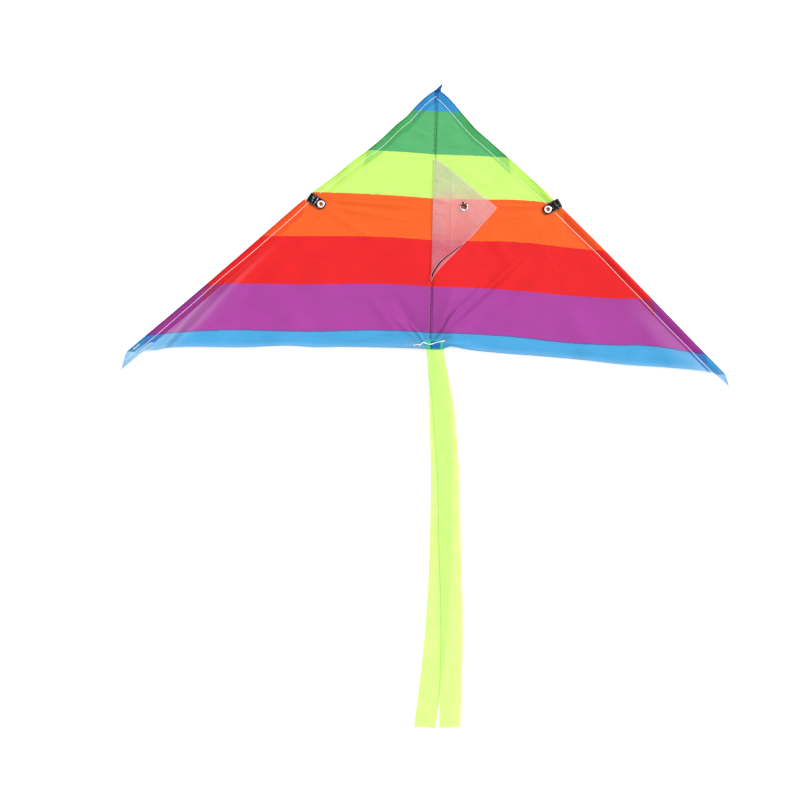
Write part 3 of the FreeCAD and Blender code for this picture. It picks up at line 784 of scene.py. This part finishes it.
# ---------------------------------------------------------------- stitches
def bead_run(name, points, radius, materials, sides=6):
    """Short stitches as capsules between pairs of points."""
    verts, faces = [], []
    for a, b in points:
        a, b = Vector(a), Vector(b)
        axis = (b - a).normalized()
        side_v = axis.cross(Vector((0, 0, 1))).normalized()
        up = side_v.cross(axis)
        start = len(verts)
        rings = [(0.0, 0.35), (0.18, 0.9), (0.5, 1.0), (0.82, 0.9), (1.0, 0.35)]
        for t, r in rings:
            c = a.lerp(b, t)
            for k in range(sides):
                ang = 2 * math.pi * k / sides
                verts.append(c + side_v * math.cos(ang) * radius * r + up * math.sin(ang) * radius * r)
        for j in range(len(rings) - 1):
            for k in range(sides):
                i0, i1 = start + j * sides + k, start + j * sides + (k + 1) % sides
                faces.append((i0, i1, i1 + sides, i0 + sides))
        faces.append(tuple(start + k for k in reversed(range(sides))))
        last = start + (len(rings) - 1) * sides
        faces.append(tuple(last + k for k in range(sides)))
    return mesh_object(name, verts, faces, materials)


def hem_stitches(side):
    tip = TIP[side]
    s = STITCH[side]
    x = np.linspace(0, tip, 4000)
    lead = smooth(LEAD[side], x)
    tx, ty = lead_dir(side, x)
    wobble = (0.6 if side < 0 else 0.25) * np.sin(x / 21.0 + side) + 0.2 * np.sin(x / 8.3)
    off = s + wobble * step(0, 40, x)
    sx, sy = x - ty * off, lead + tx * off
    keep = sx > 0.2
    sx, sy, off = sx[keep], sy[keep], off[keep]
    # The row runs on along the ear.
    end = np.array([sx[-1], sy[-1]])
    way = np.array([tx[-1], ty[-1]])
    extra = np.arange(0.3, 13.0 if side < 0 else 7.5, 0.3)
    sx = np.concatenate([sx, end[0] + extra * way[0]])
    sy = np.concatenate([sy, end[1] + extra * way[1]])
    off = np.concatenate([off, np.full(len(extra), off[-1])])
    z = sail_height(side, sx, sy, off) + 0.12
    z[-len(extra):] -= 0.3 + 0.9 * step(2, 12, extra)
    run = np.concatenate([[0], np.cumsum(np.hypot(np.diff(sx), np.diff(sy)))])
    pairs = []
    at = 0.4
    while at + 2.5 < run[-1]:
        a = [np.interp(at, run, c) for c in (sx, sy, z)]
        b = [np.interp(at + 2.42, run, c) for c in (sx, sy, z)]
        hidden = abs(0.5 * (a[0] + b[0]) - (138.0 if side < 0 else 134.0)) < 5.0
        if not hidden:
            pairs.append((place(side * a[0], a[1], a[2]), place(side * b[0], b[1], b[2])))
        at += 2.58
    name = "hem_stitches_right" if side > 0 else "hem_stitches_left"
    o = bead_run(name, pairs, 0.00027, [THREAD], 6)
    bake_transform(o)
    return o


for side in (-1, 1):
    hem_stitches(side)


# ---------------------------------------------------------------- keel
SEAM_X = JOINTS["keel_swing"]["pos_m"][0] / MM
KEEL_EDGE_TOP = [(79.5, SEAM_X), (80.6, 1.2), (92.1, 19.5), (113, 46.0), (134.1, 72.3)]
KEEL_LOW_UPPER = [(134.1, 72.3), (152, 56.6), (172.4, 38.4), (180.8, 27.4), (189.1, 16.6), (196.4, 8.4),
    (204.5, 2.4), (212, -1.6), (219.8, SEAM_X)]
KEEL_LOW_UNDER = [(134.1, 72.3), (152, 56.2), (172.5, 38.0), (185, 26.6), (196, 16.0), (205, 7.8),
    (213, 1.4), (221.0, SEAM_X)]
EYE = (MOUNTS["keel_line_eyelet"][0] / MM, NOSE_Y - MOUNTS["keel_line_eyelet"][1] / MM)
PLY_Z = {"upper": sum(c[2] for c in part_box("keel_upper_ply")) / 2 / MM,
    "lower": sum(c[2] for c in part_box("keel_lower_ply")) / 2 / MM}


def keel_ply(which):
    low_edge = KEEL_LOW_UPPER if which == "upper" else KEEL_LOW_UNDER
    bottom = low_edge[-1][0]
    rows, cols = 240, 96
    y = np.concatenate([np.linspace(79.5, 134.1, 91)[:-1], np.linspace(134.1, bottom, rows - 90)])
    outer = np.where(y <= 134.1, smooth(KEEL_EDGE_TOP, y), smooth(low_edge, y))
    outer = np.maximum(outer, SEAM_X + 0.02)
    share = np.linspace(0, 1, cols)
    x = SEAM_X + (outer - SEAM_X)[:, None] * share[None, :]
    yy = np.broadcast_to(y[:, None], x.shape)
    z = np.full_like(x, PLY_Z[which])
    z += 0.40 * np.exp(-((x - 19.5) / 1.1) ** 2) * step(86, 100, yy) * (1 - step(165, 190, yy))
    z += (0.38 * ripple(x, yy, 31 if which == "upper" else 37, 30) + 0.22 * ripple(x, yy, 43, 13)) * step(2,
        16, x)
    edge = step(8, 0, np.abs(outer[:, None] - x))
    z += 0.25 * edge * np.sin(yy / 9.0 + (1.2 if which == "upper" else 0.0))
    # Small gathers run in from the sewn edge.
    # The lower corner of the top ply stands up off the one below.
    for down, height in ((104, 0.5), (121, -0.7), (127, 0.8), (133, -0.6), (141, 0.7), (149, -0.4),
            (165, 0.4)):
        z += height * np.exp(-((yy - down - 0.10 * x) / 2.2) ** 2) * step(0, 3, x) * (1 - step(8, 22, x))
    if which == "upper":
        z += 0.9 * step(150, 186, yy) * step(16, 0, outer[:, None] - x)
    z = np.maximum(z, PLY_Z["lower"] - 0.25 + (0.75 if which == "upper" else 0.0))
    near = np.hypot(x - EYE[0], yy - EYE[1])
    flat = 1 - step(5.2, 12, near)
    z = z * (1 - flat) + PLY_Z[which] * flat
    verts = place(x, yy, z).reshape(-1, 3)
    faces = grid_faces(rows, cols)[:, ::-1]
    fx, fy = x.reshape(-1)[faces].mean(axis=1), yy.reshape(-1)[faces].mean(axis=1)
    keep = np.hypot(fx - EYE[0], fy - EYE[1]) > 3.1
    o = mesh_object("keel_" + which + "_cloth", verts, faces[keep].tolist(), [KEEL_CLOTH])
    set_uv(o.data, "cloth", np.stack([x * MM, yy * MM], axis=-1).reshape(-1, 2))
    # The lower ply is painted dark as shade in the gap beside the upper ply's edge, and its uncovered strip beyond
    # is painted pink as light from the print below.
    slit_shade = np.zeros_like(x)
    strip = np.zeros_like(x)
    if which == "lower":
        gap = (x - np.where(yy <= 134.1, 999.0, smooth(KEEL_LOW_UPPER, yy))) * 0.72
        slit_shade = step(-0.4, 0.1, gap) * (1 - step(1.6, 2.2, gap)) * step(171, 175, yy)
        strip = step(1.6, 2.2, gap)
    set_float(o.data, "slit_shade", slit_shade.ravel())
    set_float(o.data, "strip", strip.ravel())
    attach(o, "keel")
    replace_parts(o, "keel_" + which + "_ply")
    return o


for which in ("lower", "upper"):
    keel_ply(which)


def selvedge(which):
    """The heat-cut edge of the ply, a fine paler bead."""
    low_edge = KEEL_LOW_UPPER if which == "upper" else KEEL_LOW_UNDER
    y = np.linspace(136, low_edge[-1][0] - 1.0, 120)
    x = smooth(low_edge, y)
    lift = 0.9 * step(150, 186, y) if which == "upper" else np.zeros_like(y)
    z = PLY_Z[which] + lift + 0.12
    run = [place(a, b, c) for a, b, c in zip(x, y, z)]
    o = bead_run("keel_" + which + "_edge", [(run[i], run[i + 1]) for i in range(0, 119)], 0.00026, [BEAD], 6)
    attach(o, "keel")


for which in ("lower", "upper"):
    selvedge(which)


# ---------------------------------------------------------------- edge rods and vinyl straps
def rod_mesh(name, a, b, radius, material, segments=28):
    """A fibreglass rod with slightly rounded, rough-cut ends."""
    a, b = Vector(a), Vector(b)
    axis = (b - a).normalized()
    across = axis.cross(Vector((0, 0, 1))).normalized()
    up = Vector((0, 0, 1))
    length = (b - a).length
    profile = [(0.0, 0.0), (0.0, radius * 0.75), (0.00012, radius * 0.93), (0.0004, radius)]
    steps = [0.0004 + (length - 0.0008) * k / 24 for k in range(1, 24)]
    profile += [(t, radius * (1 + 0.006 * math.sin(t * 190.0))) for t in steps]
    profile += [(length - 0.0004, radius), (length - 0.00012, radius * 0.93), (length, radius * 0.75),
        (length, 0.0)]
    verts, faces = [], []
    for t, r in profile:
        c = a + axis * t
        for k in range(segments):
            ang = 2 * math.pi * k / segments
            verts.append(c + across * math.cos(ang) * r + up * math.sin(ang) * r)
    for j in range(len(profile) - 1):
        for k in range(segments):
            i0, i1 = j * segments + k, j * segments + (k + 1) % segments
            faces.append((i0, i1, i1 + segments, i0 + segments))
    o = mesh_object(name, verts, faces, [material])
    bm = bmesh.new()
    bm.from_mesh(o.data)
    bmesh.ops.remove_doubles(bm, verts=bm.verts, dist=1e-7)
    bmesh.ops.recalc_face_normals(bm, faces=bm.faces)
    bm.to_mesh(o.data)
    bm.free()
    return o


for side, word in ((-1, "left"), (1, "right")):
    (sx, sy), (ex, ey), above = ROD_LINE[side]
    length = math.hypot(ex - sx, ey - sy)
    ax, ay = (ex - sx) / length, (ey - sy) / length
    start = (side * (sx - above * ax) * MM, (NOSE_Y - (sy - above * ay)) * MM, SAIL_Z * MM)
    end = (side * ex * MM, (NOSE_Y - ey) * MM, SAIL_Z * MM)
    o = rod_mesh("leading_edge_rod_" + word, start, end, 0.0015, ROD)
    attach(o, "wing_" + word)
    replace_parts(o, "leading_edge_spar_" + word)


def strap(side):
    """A vinyl strip folded round the rod, its two plies joined flat under the eyelet."""
    word = "right" if side > 0 else "left"
    joint = JOINTS["tab_" + word + "_swing"]
    eye = Vector(MOUNTS["strap_eyelet_" + word])
    centre = Vector(joint["pos_m"])
    u = Vector((-side * math.cos(math.radians(31.4)), -math.sin(math.radians(31.4)), 0))
    v = Vector((-u.y, u.x, 0))
    flat = eye - centre
    flat.z = 0
    along = Vector(joint["axis"]).normalized()
    along.z = 0
    # The strap's middle line crosses the rod where the eyelet lies straight along it.
    k = flat.dot(v) / along.normalized().dot(v)
    centre = centre + along.normalized() * k
    reach = (Vector((eye.x, eye.y, 0)) - Vector((centre.x, centre.y, 0))).dot(u) / MM
    end = reach + 5.2
    path = [(end, 8.02), (end - 3, 8.02), (reach + 2, 8.02), (reach, 8.02), (reach - 3.5, 7.98),
        (reach - 5.4, 7.92),
            (4.4, 7.75), (3.55, 7.0), (3.35, SAIL_Z), (3.0, 5.3), (2.2, 4.6), (1.2, 4.25), (-1.2, 4.22),
            (-2.4, 4.45), (-3.3, 5.2),
            (-3.68, SAIL_Z), (-3.45, 7.45), (-2.9, 8.2), (-1.9, 8.62), (-0.6, 8.70), (1.0, 8.68), (2.2, 8.60),
            (4.2, 8.64), (reach - 5.4, 8.62), (reach - 3.5, 8.62), (reach, 8.60), (reach + 2, 8.60),
            (end - 3, 8.60), (end, 8.60)]
    path = np.array(path)
    # The right strap's loop stands a little wider round its rod.
    room = 0.85 if side > 0 else 0.2
    path[:, 1] += room * np.sign(path[:, 1] - SAIL_Z) * (1 - step(3.0, 8.0, np.abs(path[:, 0]))) * step(0.2,
        1.6, np.abs(path[:, 1] - SAIL_Z))
    run = np.concatenate([[0], np.cumsum(np.hypot(*np.diff(path, axis=0).T))])
    n = 240
    t = np.linspace(0, run[-1], n)
    pu = np.interp(t, run, path[:, 0])
    pz = np.interp(t, run, path[:, 1])
    for _ in range(3):
        pu[1:-1] = 0.25 * pu[:-2] + 0.5 * pu[1:-1] + 0.25 * pu[2:]
        pz[1:-1] = 0.25 * pz[:-2] + 0.5 * pz[1:-1] + 0.25 * pz[2:]
    cols = 44
    half = 5.5
    # Round inner ends, and slightly rounded outer corners.
    inner = np.clip((pu - (end - half + 0.3)) / half, 0, 1)
    width = half * np.sqrt(np.clip(1 - inner ** 2, 0.0, 1))
    width = np.maximum(width, 0.25)
    outer = np.clip((-2.9 - pu) / 0.9, 0, 1)
    width = width - 0.75 * outer ** 2
    s = np.linspace(-1, 1, cols)
    gu = np.broadcast_to(pu[:, None], (n, cols))
    gv = width[:, None] * s[None, :]
    top = (np.arange(n) > n / 2)[:, None] * (gu < reach - 4.2)
    # The soft strip is dented beside the rod and keeps a few cross creases.
    bow = 0.35 * np.cos(gv / 3.4)
    gz = pz[:, None] + top * (0.42 * np.exp(-((gu - 2.7 + bow) / 0.42) ** 2) + 0.34
        * np.exp(-((gu - 6.1 - bow) / 0.42) ** 2)
                              - 0.42 * np.exp(-((gu - 4.4) / 0.8) ** 2 - (gv / 2.2) ** 2)
                              + 0.20 * np.exp(-((gu + 1.6) / 0.5) ** 2 - ((gv - 1.6) / 1.6) ** 2)) * (1
                              if side < 0 else 0.55)
    gz = gz + 0.05 * np.sin(gv * 1.7 + 1.0) * top
    gz = gz - 0.10 * np.abs(s[None, :]) ** 6 * (pz[:, None] > 8.3)
    x = centre.x / MM + gu * u.x + gv * v.x
    y = centre.y / MM + gu * u.y + gv * v.y
    verts = (np.stack([x, y, gz], axis=-1) * MM).reshape(-1, 3)
    faces = grid_faces(n, cols)
    ex, ey = eye.x / MM, eye.y / MM
    fx, fy = x.ravel()[faces].mean(axis=1), y.ravel()[faces].mean(axis=1)
    keep = np.hypot(fx - ex, fy - ey) > 2.6
    o = mesh_object("strap_" + word + "_vinyl", verts, faces[keep].tolist(), [VINYL])
    # Painted highlights on the strip's bends and edges, as glossy streaks.
    bend_highlight = (np.exp(-((gu - 2.9 + 2 * bow) / 0.5) ** 2 - ((gv + 0.6) / 3.4) ** 2) * (1.2 if side < 0 else 0.30)
            + np.exp(-((gu - 6.0 - 2 * bow) / 0.45) ** 2 - ((gv - 0.4) / 4.4) ** 2) * (1.5 if side < 0
            else 0.20)
            + 0.60 * np.exp(-((gu - 0.9) / 0.5) ** 2 - ((gv - 2.2) / 1.3) ** 2)
            + 0.15 * np.exp(-((np.abs(gv) - 4.9) / 0.35) ** 2))
    set_float(o.data, "painted_highlight", (np.clip(bend_highlight, 0, 1) * (np.arange(n) > n / 2)[:, None]).ravel())
    sol = o.modifiers.new("ply", "SOLIDIFY")
    sol.thickness = 0.00052
    sol.offset = 0.0
    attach(o, "tab_" + word)
    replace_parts(o, "strap_" + word)
    return o


for side in (-1, 1):
    strap(side)


# ---------------------------------------------------------------- eyelets
def lathe(name, profile, centre, material, segments=64, petals=None):
    verts, faces = [], []
    for k in range(segments):
        ang = 2 * math.pi * k / segments
        for i, (r, z) in enumerate(profile):
            if petals is not None:
                r, z = petals(ang, i, r, z)
            verts.append((centre[0] + r * MM * math.cos(ang), centre[1] + r * MM * math.sin(ang), z * MM))
    m = len(profile)
    for k in range(segments):
        k2 = (k + 1) % segments
        for i in range(m):
            i2 = (i + 1) % m
            faces.append((k * m + i, k2 * m + i, k2 * m + i2, k * m + i2))
    o = mesh_object(name, verts, faces, [material])
    bm = bmesh.new()
    bm.from_mesh(o.data)
    bmesh.ops.recalc_face_normals(bm, faces=bm.faces)
    bm.to_mesh(o.data)
    bm.free()
    return o


def arc(cx, cz, rx, rz, a0, a1, count):
    return [(cx + rx * math.cos(math.radians(a)),
        cz + rz * math.sin(math.radians(a))) for a in np.linspace(a0, a1, count)]


def flange_profile(low, high, bore=2.55, rim=4.75):
    """A rolled rim on top that turns down into the barrel, and a flat turned rim below."""
    wide = (rim - bore) / 2
    wall = bore + 0.40
    return (arc(bore + wide, high - 0.35, wide, 0.35, 180, 0, 15)
            + [(rim - 0.03, high - 0.42), (wall, high - 0.42), (wall, low + 0.4), (rim - 0.55, low + 0.4)]
            + arc(bore + wide - 0.25, low + 0.22, wide - 0.25, 0.22, 0, -180, 9))


for name in ("strap_eyelet_left", "strap_eyelet_right"):
    low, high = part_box(name)
    o = lathe(name + "_metal", flange_profile(low[2] / MM, high[2] / MM, 2.25, 4.20), MOUNTS[name], NICKEL)
    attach(o, "tab_left" if name.endswith("left") else "tab_right")
    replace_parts(o, name)

low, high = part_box("keel_eyelet")
low, high = low[2] / MM, high[2] / MM


def clinch(ang, i, r, z):
    """The keel's eyelet shows its clinched side: the split barrel opens into uneven petals."""
    if i < 15:
        split = abs(math.sin(ang * 3.0 + 0.5)) ** 0.35
        tooth = 0.5 + 0.5 * math.sin(ang * 6 + 1.2)
        if i > 4:
            r = 2.55 + (r - 2.55) * (0.72 + 0.28 * split)
            z = z - 0.22 * (1 - split) + 0.12 * tooth
    return r, z


o = lathe("keel_eyelet_metal", flange_profile(low, high), MOUNTS["keel_line_eyelet"], NICKEL, 96, clinch)
centre = MOUNTS["keel_line_eyelet"]
o.data.materials.append(TARNISH)
for face in o.data.polygons:
    away = math.hypot(face.center.x - centre[0], face.center.y - centre[1]) / MM
    face.material_index = 1 if away < 2.75 else 0


def keel_petals():
    """The split ends of the barrel, bent out over the rim in five uneven points."""
    verts, faces = [], []
    for deg, reach, wide in ((102, 5.9, 30), (50, 5.3, 30), (2, 4.6, 26), (152, 4.8, 30), (205, 4.0, 22),
            (318, 4.3, 24)):
        rows, cols = 8, 7
        start = len(verts)
        for i in range(rows):
            t = i / (rows - 1)
            r = 2.35 + (reach - 2.35) * t
            lift = high + 0.18 + 0.55 * math.sin(math.pi * (0.25 + 0.75 * t)) - 0.3 * t
            for j in range(cols):
                k = 2 * j / (cols - 1) - 1
                ang = math.radians(deg + k * wide * (1 - 0.72 * t ** 1.3) * 2.5 / (1.2 + r / 2))
                verts.append((centre[0] + r * MM * math.cos(ang), centre[1] + r * MM * math.sin(ang),
                    (lift - 0.12 * k * k) * MM))
        faces += (grid_faces(rows, cols, start)).tolist()
    p = mesh_object("keel_eyelet_petals", verts, faces, [TARNISH])
    sol = p.modifiers.new("metal", "SOLIDIFY")
    sol.thickness = 0.00018
    sol.offset = 0.0
    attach(p, "keel")


keel_petals()
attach(o, "keel")
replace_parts(o, "keel_eyelet")


# ---------------------------------------------------------------- tail ribbons
LEFT_EDGE = [(287, -6.0), (298, -4.9), (310, -3.6), (334, -1.9), (375, -0.1), (420, 2.4), (508, 3.8),
    (558, 3.3), (634, 0.0), (700, -6.0), (733.4, -9.4)]
RIGHT_EDGE = [(287, 12.6), (299, 14.3), (312, 17.2), (334, 22.4), (367, 29.0), (405, 32.9), (452, 36.9),
    (522, 39.9), (581, 43.1), (634, 44.6), (732.2, 44.3)]


def ribbon(which):
    left = which == "left"
    top, bottom = 287.0, (734.0 if left else 733.0)
    rows, cols = 300, 26
    y = np.linspace(top, bottom, rows)
    width = 19.0 + 6.0 * np.clip((y - top) / 88.0, 0, 1)
    if left:
        x0 = smooth(LEFT_EDGE, y)
        x1 = x0 + width
    else:
        x1 = smooth(RIGHT_EDGE, y)
        x0 = x1 - width
    share = np.linspace(0, 1, cols)
    x = x0[:, None] + (x1 - x0)[:, None] * share[None, :]
    yy = np.broadcast_to(y[:, None], x.shape).copy()
    yy += (share[None, :] - 0.5) * (0.9 if left else -1.2) * step(700, 734, yy)
    box_low, box_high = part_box("tail_ribbon_" + which)
    z_top, z_floor = box_high[2] / MM - 0.15, box_low[2] / MM + 0.15
    fall = step(297, 352, yy)
    z = z_top + (z_floor - z_top) * fall
    wave = 0.30 * np.sin(yy / 31.0 + (0.4 if left else 2.0)) + 0.18 * np.sin(yy / 12.0 + x / 7.0)
    z += (wave * 0.5 + 0.24) * step(345, 400, yy)
    z += 0.35 * np.cos(math.pi * (share[None, :] - 0.5) * 2) * step(292, 300, yy) * (1 - step(330, 420, yy))
    z = np.maximum(z, 0.12)
    verts = place(x, yy, z).reshape(-1, 3)
    o = mesh_object("tail_ribbon_" + which + "_cloth", verts, grid_faces(rows, cols)[:, ::-1].tolist(),
        [RIBBON_CLOTH])
    set_uv(o.data, "cloth", np.stack([x * MM, yy * MM], axis=-1).reshape(-1, 2))
    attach(o, "tail_" + which)
    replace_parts(o, "tail_ribbon_" + which)


for which in ("left", "right"):
    ribbon(which)


# ---------------------------------------------------------------- nose cloth and tack thread
def nose_point():
    """The little pointed end of the turned-in corner, with a ragged cut on its right."""
    left = [(-3.4, 2.6), (-1.9, 0.6), (0.4, -1.6), (3.0, -4.0), (4.6, -5.5), (5.5, -6.45)]
    right = [(0.4, 3.4), (3.3, 2.2), (4.6, 1.0), (4.1, -0.6), (5.0, -2.4), (5.9, -6.3)]
    cols = 12
    fine = np.linspace(0, 1, 31)
    at = np.linspace(0, 1, 6)
    lx, ly = np.interp(fine, at, [p[0] for p in left]), np.interp(fine, at, [p[1] for p in left])
    rx, ry = np.interp(fine, at, [p[0] for p in right]), np.interp(fine, at, [p[1] for p in right])
    rx = rx + 0.22 * np.sin(fine * 41.0) * step(0.1, 0.3, fine) * (1 - step(0.85, 1.0, fine))
    s = np.linspace(0, 1, cols)
    x = lx[:, None] + (rx - lx)[:, None] * s[None, :]
    y = ly[:, None] + (ry - ly)[:, None] * s[None, :]
    z = LEVEL + 0.22 + 0.55 * np.sin(math.pi * s)[None, :] * step(0.0, 0.4, fine)[:,
        None] - 0.5 * (1 - step(0, 0.2, fine))[:, None]
    verts = place(x, y, z).reshape(-1, 3)
    o = mesh_object("nose_point_cloth", verts, grid_faces(31, cols)[:, ::-1].tolist(), [POCKET_CLOTH])
    set_uv(o.data, "cloth", np.stack([x * MM, y * MM], axis=-1).reshape(-1, 2))
    sol = o.modifiers.new("cloth", "SOLIDIFY")
    sol.thickness = 0.0004
    sol.offset = -1.0
    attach(o, "spine")
    return o


def rod_pocket(name, start, end, half, closed, material):
    """A cloth pocket under the seam: a U of cloth round the spine rod, gathered shut at one end."""
    rows, cols = 30, 36
    t = np.linspace(0, 1, rows)[:, None]
    a = np.linspace(-0.12 * math.pi, 1.12 * math.pi, cols)[None, :]
    shut = 1 - 0.86 * step(0.80, 1.0, t if closed > 0 else 1 - t)
    r = half * shut * (1 + 0.05 * np.sin(3 * a + 5 * t))
    x = -r * np.cos(a)
    z = ROD_LOW - r * np.sin(a)
    z = np.where(np.sin(a) < 0, ROD_LOW + 1.5, z)
    y = np.broadcast_to(start + (end - start) * t, x.shape)
    verts = place(x, y, z).reshape(-1, 3)
    o = mesh_object(name, verts, grid_faces(rows, cols).tolist(), [material])
    set_uv(o.data, "cloth", np.stack([(x + z) * MM, y * MM], axis=-1).reshape(-1, 2))
    sol = o.modifiers.new("cloth", "SOLIDIFY")
    sol.thickness = 0.00025
    sol.offset = 1.0
    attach(o, "spine")
    return o


ROD_LOW = (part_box("spine_rod")[0][2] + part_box("spine_rod")[1][2]) / 2 / MM
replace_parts(nose_point(), "nose_pocket")
rod_pocket("nose_pocket_cloth", 14.5, 0.5, 1.95, 1, POCKET_CLOTH)
end_low, end_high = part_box("spine_end_pocket")
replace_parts(rod_pocket("spine_end_pocket_cloth", NOSE_Y - end_high[1] / MM, NOSE_Y - end_low[1] / MM, 1.95,
    1, LINING_CLOTH),
            "spine_end_pocket")


def loop_ribbon(name, node):
    """A narrow ribbon loop that holds the stowed spreader under the seam."""
    low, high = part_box(node)
    rod_low, rod_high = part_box("spreader_rod")
    cx = (rod_low[0] + rod_high[0]) / 2 / MM
    cz = (rod_low[2] + rod_high[2]) / 2 / MM
    down0, down1 = NOSE_Y - high[1] / MM, NOSE_Y - low[1] / MM
    rows, cols = 12, 48
    r = 2.95
    top = high[2] / MM - 0.2
    a = np.radians(np.linspace(128, 412, cols - 8))
    px = np.concatenate([np.linspace(cx - 1.9 - 1.6, cx - 1.9, 4, endpoint=False), cx + r * np.cos(a),
        np.linspace(cx + 2.3, cx + 3.9, 5)[1:]])
    pz = np.concatenate([np.full(4, top), np.minimum(cz + r * np.sin(a), top), np.full(4, top)])
    px = np.clip(px, low[0] / MM + 0.05, high[0] / MM - 0.05)
    y = np.linspace(down0, down1, rows)
    x = np.broadcast_to(px[None, :], (rows, cols)) + 0.0
    z = np.broadcast_to(pz[None, :], (rows, cols)) + 0.0
    yy = np.broadcast_to(y[:, None], (rows, cols)) + 0.12 * np.sin(x * 2.0)
    verts = place(x, yy, z).reshape(-1, 3)
    o = mesh_object(name, verts, grid_faces(rows, cols).tolist(), [LINING_CLOTH])
    set_uv(o.data, "cloth", np.stack([(x + z) * MM, yy * MM], axis=-1).reshape(-1, 2))
    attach(o, "spine")
    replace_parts(o, node)


for name in ("upper", "lower"):
    loop_ribbon("spreader_loop_" + name + "_ribbon", "spreader_loop_" + name)


def thread_run(name, points, radius):
    curve = bpy.data.curves.new(name, "CURVE")
    curve.dimensions = "3D"
    curve.bevel_depth = radius
    curve.bevel_resolution = 3
    curve.resolution_u = 6
    s = curve.splines.new("NURBS")
    s.points.add(len(points) - 1)
    for p, at in zip(s.points, points):
        p.co = (at[0] * MM, (NOSE_Y - at[1]) * MM, at[2] * MM, 1)
    s.order_u = 3
    s.use_endpoint_u = True
    curve.materials.append(THREAD)
    o = bpy.data.objects.new(name, curve)
    bpy.context.scene.collection.objects.link(o)
    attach(o, "spine")
    return o


ON = LEVEL + 0.35
tack = thread_run("tack_thread_main", [
    (-17.6, 293.2, ON + 0.9), (-15.0, 293.4, ON + 0.5), (-12.0, 293.3, ON + 0.3), (-10.6, 291.6, ON + 0.4),
    (-8.6, 290.2, ON + 0.3),
    (-6.2, 291.7, ON + 0.2), (-2.0, 293.0, ON + 0.2), (2.0, 291.6, ON + 0.2), (6.0, 290.4, ON + 0.2),
    (9.6, 289.4, ON + 0.3),
    (12.6, 289.2, ON + 0.5), (15.8, 288.4, ON + 0.9)], 0.00042)
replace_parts(tack, "tail_tack_thread")
thread_run("tack_thread_end_a",
    [(-16.4, 293.4, ON + 0.5), (-18.4, 293.2, ON + 0.9), (-19.4, 294.6, ON + 1.1), (-20.8, 294.4, ON + 0.9)],
    0.00030)
thread_run("tack_thread_end_b",
    [(-12.4, 293.0, ON + 0.3), (-13.0, 294.6, ON + 0.5), (-14.2, 295.3, ON + 0.5)], 0.00026)
thread_run("tack_thread_end_c", [(11.6, 289.2, ON + 0.3), (13.6, 288.0, ON + 0.6), (15.4, 287.4, ON + 0.8)],
    0.00026)
thread_run("tack_thread_back", [(-8.6, 291.2, ON + 0.1), (-4.2, 292.3, ON + 0.4), (0.4, 292.9, ON + 0.35),
    (4.0, 290.7, ON + 0.4), (8.4, 289.9, ON + 0.3)], 0.00034)


# ---------------------------------------------------------------- CAD parts that stay
def dress(node, material):
    o = NODES[node]
    o.data.materials.clear()
    o.data.materials.append(material)


for node in ("spine_rod", "spreader_rod"):
    dress(node, ROD)
for node in ("spreader_cap_upper", "spreader_cap_lower"):
    dress(node, CAP)


# ---------------------------------------------------------------- floor, light and camera
def floor_material():
    n = Nodes("studio_floor")
    where = n.add("ShaderNodeTexCoord").outputs["Object"]
    tone = n.mix(n.noise(where, 3.0, 2.0), linear(250, 250, 250), linear(253, 253, 253))
    p = n.add("ShaderNodeBsdfPrincipled")
    n.link(tone, p.inputs["Base Color"])
    p.inputs["Roughness"].default_value = 0.9
    p.inputs["Specular IOR Level"].default_value = 0.1
    # A white table lit faintly from below keeps the shadows soft and pale.
    p.inputs["Emission Color"].default_value = (1, 1, 1, 1)
    p.inputs["Emission Strength"].default_value = 0.30
    n.link(p.outputs[0], n.out.inputs["Surface"])
    return n.material


floor = mesh_object("floor", [(-4, -4, -0.0002), (4, -4, -0.0002), (4, 4, -0.0002), (-4, 4, -0.0002)],
    [(0, 1, 2, 3)], [floor_material()], False)

world = bpy.data.worlds.new("studio")
world.use_nodes = True
world.node_tree.nodes["Background"].inputs["Color"].default_value = (1.0, 1.0, 1.0, 1)
world.node_tree.nodes["Background"].inputs["Strength"].default_value = 0.88
bpy.context.scene.world = world

sun = bpy.data.lights.new("soft_key", "SUN")
sun.energy = 3.5
sun.angle = math.radians(24)
key = bpy.data.objects.new("soft_key", sun)
key.rotation_euler = Vector((-0.72, -0.40, -0.60)).to_track_quat("-Z", "Y").to_euler()
bpy.context.scene.collection.objects.link(key)

cam_data = bpy.data.cameras.new("camera")
cam_data.sensor_width = 36.0
cam_data.lens = 85.0
VIEW_WIDTH = 0.920
camera = bpy.data.objects.new("camera", cam_data)
camera.location = (-0.0343, 0.0064, VIEW_WIDTH * cam_data.lens / cam_data.sensor_width + 0.004)
camera.rotation_euler = (0, 0, math.radians(1.33))
cam_data.clip_start = 0.05
cam_data.clip_end = 50
bpy.context.scene.collection.objects.link(camera)
bpy.context.scene.camera = camera
bpy.context.scene.view_settings.view_transform = "Standard"
bpy.context.scene.view_settings.look = "None"
